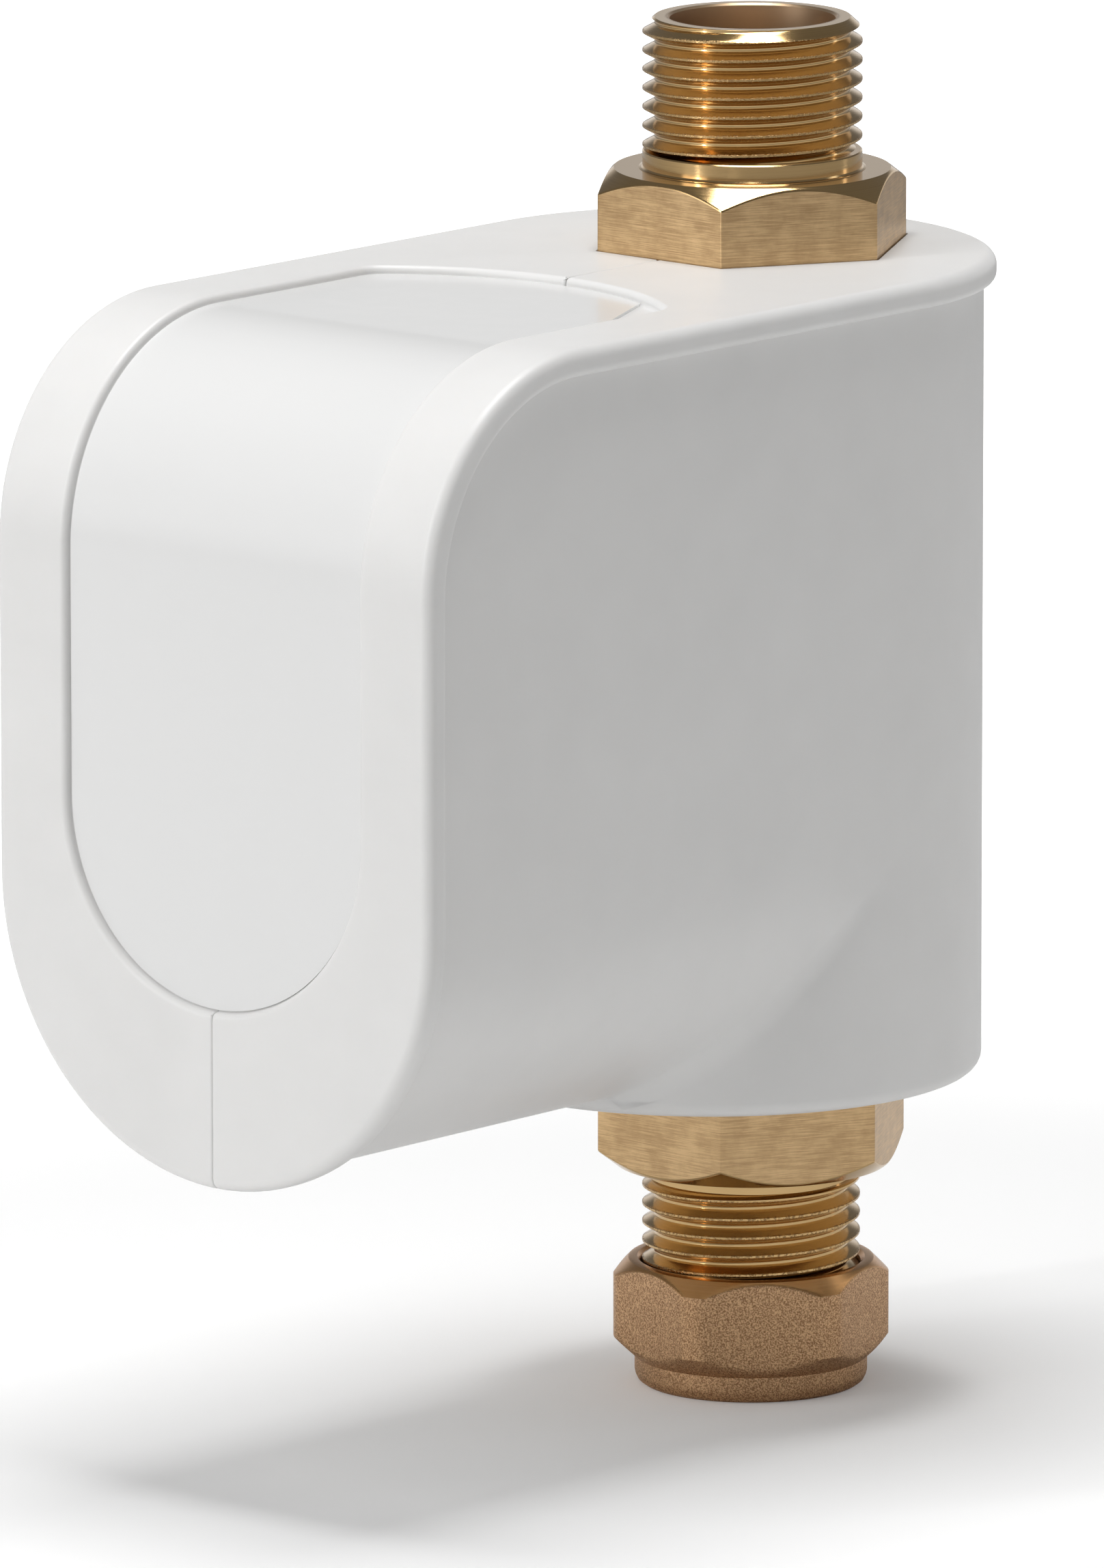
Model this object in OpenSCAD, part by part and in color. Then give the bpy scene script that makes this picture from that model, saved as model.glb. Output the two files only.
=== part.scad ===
// In-line shower pump. A white two-part casing hangs on the pipe by a brass fitting at each end.
// Frame: X is the width, the label faces -Y, Z is up. The origin is on the pipe axis, at the stop
// inside the inlet fitting where the end of the pipe seats.

/* [Casing] */
// Width of the casing over its rim
casing_w = 54.4; // [53.6:0.2:60]
// From the pipe axis forward to the label face
casing_reach = 76.8; // [76:0.2:84]
// From the pipe axis back to the rear of the rim
casing_back = 21.1; // [20.8:0.1:24]
// Height of the casing from its underside to its top
casing_h = 78.9; // [78:0.1:88]
// Height of the casing's underside above the pipe stop
casing_lift = 11.6; // [10:0.1:11.8]
// How far the front's round lower end hangs below the underside
front_drop = 0.9; // [0:0.1:1]
// Outer radius of the bend from the top down to the label face
bend_r = 21.4; // [20:0.2:26]
// Thickness of the rim
rim_t = 2.7; // [2.6:0.1:4]
// How far the rim stands out from the walls
rim_out = 1.2; // [0.8:0.1:1.6]
// Radius on the rim's outer edge
rim_edge_r = 1.2; // [0.8:0.1:1.4]
// Radius on the rim's under edge
rim_under_r = 0.9; // [0.4:0.1:1.1]
// Thickness of the walls
wall = 2.5; // [2:0.1:2.8]
// Radius round the foot of the casing
foot_r = 1.5; // [0.8:0.1:2.2]
// Gap between a hexagon and its opening in the casing
hex_play = 0.15; // [0.1:0.05:0.3]

/* [Label] */
// Half the width of the recess for the label
recess_half = 18.4; // [16:0.2:20]
// Depth of the recess
recess_depth = 1.0; // [0.6:0.1:1.2]
// From the pipe axis forward to the recess
recess_start = 27.0; // [24:0.5:30]
// Radius of the recess's curved rear end
recess_arc_r = 28.0; // [25:0.5:40]
// Radius at the recess's rear corners
recess_corner_r = 3.0; // [1.5:0.5:5]
// Height of the plain front below the recess
recess_foot = 17.0; // [14:0.1:20]
// Thickness of the label film
label_t = 0.25; // [0.15:0.05:0.4]
// Gap round the edge of the label film
label_gap = 0.35; // [0.2:0.05:0.6]
// Width of the corner cut from the film
label_cut_w = 14.7; // [8:0.1:16]
// Length of the corner cut from the film
label_cut_l = 16.6; // [8:0.1:20]

/* [Casing screws] */
// Diameter of the thread
screw_d = 2.8; // [2.4:0.1:3]
// Diameter of the head
screw_head_d = 5.2; // [4.6:0.1:5.4]
// Height of the head
screw_head_h = 1.8; // [1.4:0.1:2.2]
// Length below the head
screw_l = 20.0; // [16:0.5:24]
// Diameter of the bosses
boss_d = 6.4; // [6.2:0.1:6.6]
// Distance from the joint between the halves to the screw heads
boss_head_x = 11.0; // [9:0.5:12]

/* [Connections] */
// Outside diameter of the inlet pipe
pipe_d = 15.0; // [15:0.1:15.4]
// Gap between the pipe and its socket
pipe_play = 0.1; // [0.05:0.01:0.2]
// Length of the socket above its seat
socket_depth = 10.8; // [10:0.2:14]
// Outside diameter of the pipe threads
thread_d = 20.955; // [20.5:0.005:21.5]
// Pitch of the pipe threads
thread_pitch = 1.814; // [1.5:0.001:2]
// Width of the hexagons across their flats
hex_af = 27.0; // [26.6:0.1:27.4]
// Height of the outlet hexagon above the casing
hex_rise = 7.3; // [5:0.1:9]
// Depth of the inlet hexagon below the casing
hex_drop = 10.4; // [8:0.1:11]
// Radius of the circle at the end of each hexagon
hex_end_r = 13.2; // [12.4:0.1:13.4]
// Slope of the cone that trims the hexagon's corners
hex_slope = 38; // [30:1:45]
// Height of the plain collar above the outlet hexagon
outlet_collar_h = 1.75; // [1.5:0.05:3]
// Height of the outlet spigot above its collar
outlet_thread_l = 12.75; // [12.7:0.05:16]
// Height of the plain ring below the inlet hexagon
inlet_ring_h = 1.7; // [1:0.1:2]
// Diameter of the plain ring below the inlet hexagon
inlet_ring_d = 19.9; // [19.2:0.1:20.6]
// Diameter of the outlet's mouth
mouth_d = 15.8; // [14.6:0.1:16.2]
// Depth of the outlet's wider mouth
mouth_depth = 3.0; // [2:0.1:6]
// Diameter of the waterway through the outlet spigot
spout_d = 14.0; // [13:0.1:14.4]
// Diameter of the waterway through the inner spigots
water_d = 12.0; // [11:0.1:12.2]
// Diameter of the inner spigots
spigot_d = 17.6; // [17.4:0.1:18]
// Gap between an inner spigot and its socket
spigot_play = 0.1; // [0.05:0.01:0.2]
// Length of the inlet's inner spigot
inlet_spigot_l = 9.1; // [8.5:0.1:9.5]
// Length of the outlet's inner spigot
outlet_spigot_l = 8.8; // [8:0.2:9.4]
// Thickness of the fittings' inner flanges
flange_t = 2.2; // [1.8:0.1:2.4]
// How far the inner flange reaches past the hexagon's corners
flange_lap = 0.8; // [0.5:0.1:0.9]
// Thickness of the sealing rings
seal_d = 1.8; // [1.6:0.1:1.9]

/* [Compression joint] */
// Width of the nut across its flats
nut_af = 24.0; // [23.6:0.1:25]
// Height of the nut
nut_h = 12.2; // [12:0.1:14]
// Amount that rounds off the nut's corners
nut_corner_trim = 0.6; // [0.4:0.05:1]
// Step between the nut's flats and its round collar
nut_collar_step = 0.8; // [0.6:0.1:1.2]
// Height of the nut's round collar
nut_collar_h = 2.6; // [2:0.1:3.5]
// Turn of the nut against the inlet hexagon
nut_turn = -14; // [-30:1:30]
// Thickness of the lip that the pipe passes
nut_lip = 1.9; // [1.5:0.1:2.5]
// Running gap between the nut and the inlet thread
nut_play = 0.07; // [0.04:0.01:0.1]
// Length of the olive
olive_l = 6.5; // [6:0.1:7]
// Diameter of the olive
olive_d = 17.5; // [17.3:0.1:17.7]
// Thickness of the olive at its ends
olive_edge = 0.4; // [0.3:0.05:0.5]
// Gap between the olive and each seat
seat_gap = 0.3; // [0.2:0.05:0.4]

/* [Pump] */
// From the pipe axis forward to the back of the impeller chamber
chamber_back = 14.0; // [13.5:0.1:15]
// Depth of the impeller chamber
chamber_depth = 10.0; // [9.8:0.1:11]
// Land between the impeller chamber and the can's edge
chamber_rim = 3.7; // [3.6:0.1:4.2]
// Wall of the pump body
body_wall = 3.0; // [2.2:0.1:3]
// Radius of the upright tube
tower_r = 11.5; // [11.2:0.1:11.6]
// Radius of the bore that feeds the impeller
eye_r = 6.5; // [6:0.1:7]
// Radius of the outlet bore of the impeller chamber
throat_r = 3.8; // [3.4:0.1:3.8]
// Gap between the motor's flange and the casing
motor_room = 0.4; // [0.3:0.1:0.6]
// Thickness of that flange
motor_flange_t = 4.5; // [4:0.1:5]
// Gap between a motor screw's head and the motor cover
motor_head_gap = 0.35; // [0.2:0.05:0.4]
// Diameter of the motor screws
motor_screw_d = 2.0; // [1.8:0.1:2.2]
// Diameter of the motor screws' heads
motor_head_d = 3.8; // [3.4:0.1:3.8]
// Gap round the impeller
impeller_gap = 1.5; // [1:0.1:2]
// Number of vanes
vanes = 6; // [5:1:7]
// Thickness of a vane
vane_t = 1.2; // [0.8:0.1:1.6]
// Height of the vanes
vane_h = 4.5; // [4:0.1:5]
// Thickness of the impeller's two discs
shroud_t = 1.2; // [1:0.1:1.4]

/* [Motor] */
// Diameter of the fixed shaft
shaft_d = 3.0; // [2.8:0.1:3.2]
// Running gap between a bush and the shaft
bush_play = 0.05; // [0.02:0.01:0.1]
// Thickness of the bushes
bush_t = 1.05; // [0.9:0.05:1.2]
// Length of a bush
bush_l = 5.0; // [4:0.5:6]
// Radius of the rotor's sleeve as a share of the magnet's
sleeve_share = 0.6; // [0.58:0.01:0.64]
// Gap between the rotor magnet and the can
magnet_gap = 0.6; // [0.4:0.1:0.8]
// Inner radius of the separation can as a share of the stator's radius
can_share = 0.53; // [0.52:0.01:0.54]
// Wall of the separation can
can_wall = 0.6; // [0.4:0.1:0.7]
// Depth between the can's floor and the motor cover's floor
can_end_room = 3.0; // [2:0.1:4]
// Gap between the can's flange and the motor screws
can_flange_gap = 0.5; // [0.3:0.1:0.8]
// Thickness of the can's flange and end
can_flange_t = 1.5; // [1.2:0.1:1.7]
// Step between the motor's flange and its cover
cover_step = 4.15; // [4.1:0.05:4.4]
// Depth of the can that the stator leaves free
stator_end_room = 10.0; // [9:0.5:14]
// Number of stator teeth
teeth = 6; // [6:3:6]
// Width of a stator tooth as a share of the stator's radius
tooth_share = 0.235; // [0.21:0.005:0.25]
// How far the windings stand beyond the iron
winding_out = 3.0; // [2.5:0.1:3.2]
// Wall of the motor cover
cover_wall = 1.9; // [1.6:0.1:2]
// Room between the motor and the casing's front
motor_front_room = 8.4; // [8.2:0.2:12]
// Width of the rubber rings round the motor
cushion_w = 5.0; // [4:0.5:6]

/* [Flow switch] */
// Radius of the bore that the piston slides in
piston_bore_r = 8.0; // [7.8:0.1:8.2]
// Radius of the hole in the piston's seat
seat_hole_r = 5.2; // [4.8:0.1:5.6]
// Radius of the piston's disc
piston_r = 7.0; // [6.8:0.1:7.1]
// Height of the piston
piston_h = 6.0; // [5.6:0.1:6]
// How far the piston lifts
piston_lift = 4.0; // [3.5:0.1:4.4]
// Turns of the piston's spring
spring_turns = 6; // [5:1:7]
// Diameter of the spring's wire
spring_wire = 0.5; // [0.4:0.05:0.6]
// Radius of the spring to the middle of its wire
spring_r = 2.4; // [2.3:0.1:2.5]

/* [Electronics] */
// Thickness of the controller board
board_t = 1.6; // [1.2:0.1:1.8]
// Room between the controller board and the casing's front
board_front_room = 5.3; // [4:0.1:8]
// Clear height from the motor flange to the board
board_rise = 5.0; // [4.5:0.1:6]
// Diameter of the cable that the grommet takes
cable_d = 5.0; // [4.5:0.1:5.2]

/* [Hidden] */
$fn = 72;

// How far a cutting shape runs past what it cuts
over = 0.5;
// How far two joined shapes run into each other
bite = 0.2;
// Gap between close parts that don't move
snug = 0.05;
// Gap between parts that move past each other
free = 0.3;

// The casing's planes and centres
half_w = casing_w / 2;
body_half = half_w - rim_out;
room_half = body_half - wall;
skin = recess_depth + wall;
top_z = casing_lift + casing_h;
floor_z = casing_lift + wall;
roof_z = top_z - skin;
rear_y = casing_back - half_w;
bend_y = bend_r - casing_reach;
bend_z = top_z - bend_r;
axis_z = casing_lift - front_drop + half_w;
recess_z = axis_z - half_w + recess_foot + recess_half;

// The connections
hex_r = hex_af / 2 / cos(30);
flange_r = hex_r + flange_lap;
thread_r = thread_d / 2;
// Depth of the thread as a share of its pitch, with flanks at 27.5 degrees
thread_depth_share = 0.6403;
core_r = thread_r - thread_depth_share * thread_pitch;
// One ridge: across its depth, and along the axis as a share of the pitch
ridge_shares = [[0, -0.4167], [1, -0.0833], [1, 0.0833], [0, 0.4167]];
outlet_first = 0.9;
outlet_chamfer = 0.9;
inlet_first = 2.0;
inlet_chamfer = 0.6;
socket_r = pipe_d / 2 + pipe_play;
seat_h = 1.3;
mouth_z = -socket_depth - seat_h;
ring_low_z = casing_lift - hex_drop - inlet_ring_h;
inlet_thread_l = ring_low_z - mouth_z;
spigot_r = spigot_d / 2;
spigot_bore_r = spigot_r + spigot_play;
seal_ease = 0.02;
groove_side = 0.2;
body_low_z = floor_z + snug + flange_t;
body_high_z = roof_z - snug - flange_t;
strainer_flange_t = 0.8;
inlet_spigot_z = body_low_z + inlet_spigot_l;
outlet_spigot_z = body_high_z - outlet_spigot_l;
feed_z = inlet_spigot_z + strainer_flange_t + 2 * snug;

// The compression joint, from the socket's seat down to the nut's mouth
olive_r = olive_d / 2;
olive_end_r = socket_r + olive_edge;
olive_top_z = -socket_depth - olive_edge - seat_gap;
olive_low_z = olive_top_z - olive_l;
nut_hole_ease = 0.1;
nut_hole_r = socket_r + nut_hole_ease;
nut_seat_r = 9.0;
nut_lip_z = olive_low_z - seat_gap - olive_end_r + nut_hole_r;
nut_z = nut_lip_z - nut_lip;
nut_bore_r = thread_r + nut_play;
nut_hex_r = nut_af / 2 / cos(30);
nut_shoulder_h = 1.9;
nut_end_r = nut_af / 2 - bite;
nut_edge = 0.8;
nut_mouth_edge = 0.4;

// The pump, forward of the pipe axis along the motor axis
face_d = chamber_back + chamber_depth;
motor_flange_r = room_half - motor_room;
cover_r = motor_flange_r - cover_step;
motor_screw_ring = cover_r + motor_head_d / 2 + motor_head_gap;
can_flange_r = motor_screw_ring - motor_screw_d / 2 - can_flange_gap;
chamber_r = can_flange_r - chamber_rim;
impeller_r = chamber_r - impeller_gap;
stator_r = cover_r - cover_wall - snug;
can_r = can_share * stator_r;
magnet_r = can_r - magnet_gap;
sleeve_r = sleeve_share * magnet_r;
cover_depth = casing_reach - skin - motor_front_room - cover_wall - face_d;
can_depth = cover_depth - can_end_room;
stator_l = can_depth - stator_end_room;
magnet_l = stator_l;
tooth_w = tooth_share * stator_r;
neck_r = eye_r + body_wall;
throat_in = 0.2;
throat_wall = 2.0;
throat_x = chamber_r - throat_r - throat_in;
throat_d = chamber_back + throat_r + throat_in;
spider_r = 3.0;
spider_l = 5.0;
spider_arm_t = 1.6;
spider_floor = 1.0;
shaft_r = shaft_d / 2;
shaft_start = chamber_back - spider_l + spider_floor;
can_boss_r = 3.4;
can_boss_l = 3.0;
can_end_d = face_d + can_depth;
washer_t = 1.0;
washer_r = 3.0;
bush_bore_r = shaft_r + bush_play;
bush_r = bush_bore_r + bush_t;
rotor_start = chamber_back + washer_t + free;
rotor_end = can_end_d - can_boss_l - washer_t - free;
impeller_hub_r = 4.2;
impeller_l = 2 * shroud_t + vane_h;
impeller_d = chamber_back + (chamber_depth - impeller_l) / 2;
// A vane's arc: its centre and its radius as shares of the impeller's radius, and its angles
vane_centre_share = 0.517;
vane_radius_share = 0.62;
vane_from = 60;
vane_sweep = 82;
winding_gap = 0.5;
stator_start = face_d + can_flange_t + winding_gap + winding_out;
stator_end = stator_start + stator_l;
magnet_start = stator_start + (stator_l - magnet_l) / 2;
stator_bore_r = can_r + can_wall + bite;
yoke_share = 0.176;
yoke_t = yoke_share * stator_r;
shoe_t = 1.4;
shoe_gap = 2.4;
coil_play = 0.15;
coil_share = 0.135;
coil_w = coil_share * stator_r;
coil_r_in = stator_bore_r + shoe_t + coil_play;
coil_r_out = sqrt(pow(stator_r - yoke_t - coil_play, 2) - pow(tooth_w / 2 + coil_play + coil_w, 2));
insulator_l = 2.5;
cover_flange_t = 4.0;
cover_end_d = face_d + cover_depth + cover_wall;
motor_screw_grip = 3.4;
motor_head_h = 1.5;
lead_slot_w = 8.4;
lead_slot_l = 3.2;
lead_d = face_d + can_flange_t + winding_gap + 2 * winding_out + stator_l - lead_slot_l / 2;
// Where the rubber rings lie, as shares of the cover's depth
cushion_shares = [0.27, 0.58];
seal_groove_r = (chamber_r + can_flange_r) / 2;

// The flow switch
seat_rise = 0.5;
seat_t = 2.0;
stop_t = 1.5;
stop_z = outlet_spigot_z - snug - stop_t;
piston_gap = 0.1;
stop_gap = 0.5;
piston_tube_l = piston_gap + piston_h + piston_lift + stop_gap;
seat_z = stop_z - piston_tube_l - seat_t;
cross_z = seat_z - seat_rise - throat_r;
piston_z = seat_z + seat_t + piston_gap;
disc_t = 1.4;
piston_sleeve_r = 4.2;
piston_sleeve_bore = 3.1;
piston_magnet_r = 6.3;
piston_magnet_h = 3.0;
fin_t = 1.2;
fin_h = 4.5;
stop_hub_r = 3.4;
stop_pin_r = 1.5;
stop_pin_l = 2.5;
stop_arm_t = 1.6;
spring_sides = 6;
spring_steps = 12;

// The electronics
board_z = axis_z + motor_flange_r + board_rise;
board_half = room_half - free;
board_gap = 6.0;
board_start = face_d + board_gap;
board_l = casing_reach - skin - board_front_room - board_start;
rail_w = 2.2;
rail_t = 1.5;
rail_inset = 2.0;
capacitor_d = 10.0;
capacitor_h = 12.0;
choke_size = [8, 8, 4.5];
chip_size = [7, 7, 1.2];
switch_size = [6, 5, 2.2];
terminal_size = [10, 7, 8];
plug_size = [9, 5, 6];
// Places on the board as shares of its half width and its length
capacitor_share = [0.5, 0.28];
choke_share = [-0.1, 0.22];
chip_share = [0, 0.52];
switch_shares = [[-0.62, 0.4], [-0.62, 0.56], [-0.62, 0.72]];
terminal_share = [-0.55, 0.14];
plug_share = [0.3, 0.76];
lead_r = 0.7;
lead_pitch = 3.0;
pad_t = 1.5;
pad_w = 9.0;
pad_h = 18.0;
pad_drop = 2.0;
sensor_board_t = 1.2;
reed_r = 1.1;
reed_l = 11.0;
sensor_wire_r = 0.35;
sensor_screw_d = 1.8;
sensor_screw_l = 4.0;
sensor_head_d = 3.4;
sensor_head_h = 1.2;
pad_face_x = -tower_r - pad_t;
pad_z = seat_z - pad_drop;
sensor_screw_rise = 14.6;

// The casing screws, each as its place along Y and its height
boss_r = boss_d / 2;
boss_clear = 0.8;
boss_drop = 3.0;
screw_r = screw_d / 2;
screw_hole_ease = 0.15;
pilot_extra = 1.0;
// Place of the front upper screw in the bend, as shares of the bend's inner radius
bend_screw_shares = [0.48, 0.47];
// Heights of the rear screws as shares of the casing's height
rear_screw_shares = [0.2, 0.8];
rear_screw_y = tower_r + free + boss_r;
screw_places = [
    [bend_y - bend_screw_shares[0] * (bend_r - skin), bend_z + bend_screw_shares[1] * (bend_r - skin)],
    [-tower_r - boss_drop - boss_r, body_high_z - boss_drop - boss_r],
    [-cover_end_d - boss_clear - boss_r, axis_z],
    [rear_screw_y, casing_lift + rear_screw_shares[0] * casing_h],
    [rear_screw_y, casing_lift + rear_screw_shares[1] * casing_h]
];

// The cable grommet
grommet_y = -13.0;
grommet_rise = 11.6;
grommet_head_r = 5.6;
grommet_head_t = 1.0;
grommet_neck_r = 4.2;
grommet_flange_t = 2.0;

// Turns a shape so that its Z runs forward along the motor axis, from the pipe axis
module on_motor_axis(d = 0) {
    translate([0, -d, axis_z])
        rotate([90, 0, 0])
            children();
}

// A round hole or rod along X, from x1 to x2, at a place [y, z]
module along_x(x1, x2, place, r) {
    translate([x1, place[0], place[1]])
        rotate([0, 90, 0])
            cylinder(r = r, h = x2 - x1);
}

// Half the rim's section: its inner end lies on the axis, its outer face is on top
module rim_half_section(w) {
    square([w - rim_edge_r, rim_t]);
    square([w - rim_under_r, rim_t - rim_edge_r]);
    translate([0, rim_under_r])
        square([w, rim_t - rim_edge_r - rim_under_r]);
    translate([w - rim_edge_r, rim_t - rim_edge_r])
        circle(rim_edge_r);
    translate([w - rim_under_r, rim_under_r])
        circle(rim_under_r);
}

module rim_section() {
    rim_half_section(half_w);
    mirror([1, 0])
        rim_half_section(half_w);
}

// The rim runs over the top, round the bend and down the front, with a round end at each end
module rim_band() {
    translate([0, rear_y, top_z - rim_t]) {
        rotate_extrude(angle = 180)
            rim_half_section(half_w);
        rotate([90, 0, 0])
            linear_extrude(height = rear_y - bend_y)
                rim_section();
    }
    translate([0, bend_y, bend_z])
        rotate([90, 0, -90])
            rotate_extrude(angle = 90)
                translate([bend_r - rim_t, 0])
                    rotate([0, 0, -90])
                        rim_section();
    translate([0, rim_t - casing_reach, bend_z])
        rotate([180, 0, 0])
            linear_extrude(height = bend_z - axis_z)
                rim_section();
    translate([0, rim_t - casing_reach, axis_z])
        rotate([90, 180, 0])
            rotate_extrude(angle = 180)
                rim_half_section(half_w);
}

// The casing's side outline under the bend, inset from the outer faces
module side_outline(inset) {
    low = axis_z - half_w - over;
    translate([inset - casing_reach, low])
        square([rear_y - inset + casing_reach, bend_z - low]);
    translate([bend_y, low])
        square([rear_y - bend_y, top_z - inset - low]);
    translate([bend_y, bend_z])
        circle(bend_r - inset);
}

// The casing's bulk: an upright round part at the rear, and a part at the front with a round underside
module bulk(r, inset, low_z, edge_r) {
    intersection() {
        translate([0, rear_y, 0])
            rotate([90, 0, 0])
                linear_extrude(height = rear_y + casing_reach) {
                    translate([0, axis_z])
                        circle(r);
                    translate([-r, axis_z])
                        square([2 * r, top_z - axis_z]);
                }
        translate([-half_w, 0, 0])
            rotate([90, 0, 90])
                linear_extrude(height = casing_w)
                    side_outline(inset);
    }
    translate([0, rear_y, low_z + edge_r])
        cylinder(r = r, h = top_z - inset - low_z - edge_r);
    if (edge_r > 0)
        translate([0, rear_y, low_z])
            rotate_extrude() {
                square([r - edge_r, edge_r]);
                intersection() {
                    translate([r - edge_r, edge_r])
                        circle(edge_r);
                    square([r, edge_r]);
                }
            }
}

// The recess's outline on the top face, with its edge drawn in by a gap
module recess_top_outline(gap) {
    arc_r = recess_arc_r - gap;
    corner_r = recess_corner_r - gap;
    half = recess_half - gap;
    arc_y = -recess_start - recess_arc_r;
    corner_x = half - corner_r;
    corner_rise = sqrt(pow(arc_r - corner_r, 2) - pow(corner_x, 2));
    reach = (arc_r + over) / corner_rise;
    intersection() {
        translate([0, arc_y])
            circle(arc_r);
        translate([0, arc_y])
            polygon([[0, 0], [corner_x * reach, corner_rise * reach],
                [-corner_x * reach, corner_rise * reach]]);
    }
    for (side = [-1, 1])
        translate([side * corner_x, arc_y + corner_rise])
            circle(corner_r);
    translate([-half, bend_y])
        square([2 * half, arc_y + corner_rise - bend_y]);
}

// A layer under the recess's outline, between two depths below the casing's face
module recess_layer(gap, shallow, deep) {
    half = recess_half - gap;
    translate([0, 0, top_z - deep])
        linear_extrude(height = deep - shallow)
            recess_top_outline(gap);
    translate([0, bend_y, bend_z])
        rotate([90, 0, -90])
            rotate_extrude(angle = 90)
                translate([bend_r - deep, -half])
                    square([deep - shallow, 2 * half]);
    translate([0, deep - casing_reach, 0])
        rotate([90, 0, 0])
            linear_extrude(height = deep - shallow) {
                translate([0, recess_z])
                    circle(half);
                translate([-half, recess_z])
                    square([2 * half, bend_z - recess_z]);
            }
}

// Two rails on each side wall hold the edges of the controller board
module board_rails() {
    for (side = [-1, 1], z = [board_z - snug - rail_t, board_z + board_t + snug])
        translate([side * (room_half - rail_w / 2 + over / 2), -board_start - board_l / 2, z + rail_t / 2])
            cube([rail_w + over, board_l - 2 * rail_inset, rail_t], center = true);
}

module casing_whole() {
    difference() {
        union() {
            rim_band();
            bulk(body_half, rim_t / 2, casing_lift, foot_r);
        }
        difference() {
            bulk(room_half, skin, floor_z, 0);
            for (place = screw_places)
                along_x(-half_w, half_w, place, boss_r);
            board_rails();
        }
        recess_layer(0, -over, recess_depth);
        // The openings for the two hexagons
        for (z = [casing_lift - over, roof_z - over])
            translate([0, 0, z])
                cylinder(r = hex_r + hex_play / cos(30), h = skin + 2 * over, $fn = 6);
        // The screw holes: a well for the head, a clear hole, and a pilot hole in the other half
        for (place = screw_places) {
            along_x(-half_w, -boss_head_x, place, screw_head_d / 2 + screw_hole_ease);
            along_x(-half_w, 0, place, screw_r + screw_hole_ease);
            along_x(-over, screw_l - boss_head_x + pilot_extra, place, screw_r + snug);
        }
        along_x(-half_w, over - room_half, [grommet_y, axis_z + grommet_rise], grommet_neck_r + snug);
    }
}

// The half of the casing on one side of the joint
module casing_half(side) {
    intersection() {
        casing_whole();
        translate([side < 0 ? -casing_w : 0, -casing_reach - over, 0])
            cube([casing_w, casing_reach + casing_back + 2 * over, top_z + over]);
    }
}

module casing_right() {
    color("whitesmoke")
        casing_half(1);
}

module casing_left() {
    color("whitesmoke")
        casing_half(-1);
}

module casing_screws() {
    color("silver")
        for (place = screw_places)
            difference() {
                union() {
                    along_x(-boss_head_x - screw_head_h, -boss_head_x, place, screw_head_d / 2);
                    along_x(-boss_head_x - bite, screw_l - boss_head_x, place, screw_r);
                }
                translate([-boss_head_x - screw_head_h - over, place[0], place[1]])
                    rotate([0, 90, 0])
                        cylinder(d = screw_head_d / 2, h = screw_head_h / 2 + over, $fn = 6);
            }
}

module label_film() {
    color("white")
        difference() {
            recess_layer(label_gap, recess_depth - label_t, recess_depth);
            // The film's rear right corner is cut off
            translate([0, 0, roof_z])
                linear_extrude(height = skin)
                    polygon([[recess_half - label_cut_w, -recess_start],
                        [recess_half, -recess_start - label_cut_l], [recess_half, -recess_start]]);
        }
}

// A hexagon that stands on z = 0, its upper corners trimmed by a cone
module hexagon(h) {
    reach_r = hex_r + over;
    intersection() {
        cylinder(r = hex_r, h = h, $fn = 6);
        rotate_extrude()
            polygon([[0, 0], [reach_r, 0], [reach_r, h - (reach_r - hex_end_r) * tan(hex_slope)],
                [hex_end_r, h], [0, h]]);
    }
}

// A pipe thread that stands on z = 0: ridges at the true pitch and depth, and a plain end
module thread(first_h, length, chamfer) {
    ridges = floor((length - chamfer - first_h) / thread_pitch - ridge_shares[1][1]);
    land_h = first_h + ridges * thread_pitch;
    rotate_extrude()
        polygon(concat(
            [[0, 0], [core_r, 0]],
            [for (i = [0:ridges - 1], p = ridge_shares)
                [core_r + p[0] * (thread_r - core_r), first_h + (i + p[1]) * thread_pitch]],
            [[core_r, land_h + ridge_shares[0][1] * thread_pitch],
                [thread_r, land_h + ridge_shares[1][1] * thread_pitch],
                [thread_r, length - chamfer], [thread_r - chamfer, length], [0, length]]));
}

// The groove for a sealing ring round a spigot, centred on z
module seal_groove(z) {
    width = seal_d + 2 * groove_side;
    translate([0, 0, z - width / 2])
        difference() {
            cylinder(r = spigot_r + over, h = width);
            translate([0, 0, -over])
                cylinder(r = spigot_bore_r - seal_d - 2 * seal_ease, h = width + 2 * over);
        }
}

module outlet_fitting() {
    collar_z = top_z + hex_rise;
    end_z = collar_z + outlet_collar_h + outlet_thread_l;
    color("goldenrod")
        difference() {
            union() {
                translate([0, 0, roof_z - snug])
                    hexagon(collar_z - roof_z + snug);
                translate([0, 0, body_high_z])
                    cylinder(r = flange_r, h = flange_t);
                translate([0, 0, outlet_spigot_z])
                    cylinder(r = spigot_r, h = outlet_spigot_l + bite);
                translate([0, 0, collar_z - bite])
                    cylinder(r = thread_r, h = outlet_collar_h + bite);
                translate([0, 0, collar_z + outlet_collar_h])
                    thread(outlet_first, outlet_thread_l, outlet_chamfer);
            }
            translate([0, 0, outlet_spigot_z - over])
                cylinder(d = water_d, h = end_z - outlet_spigot_z + 2 * over);
            translate([0, 0, body_high_z])
                cylinder(d = spout_d, h = end_z - body_high_z + over);
            translate([0, 0, end_z - mouth_depth])
                cylinder(d = mouth_d, h = mouth_depth + over);
            seal_groove(body_high_z - outlet_spigot_l / 2);
        }
}

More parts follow.
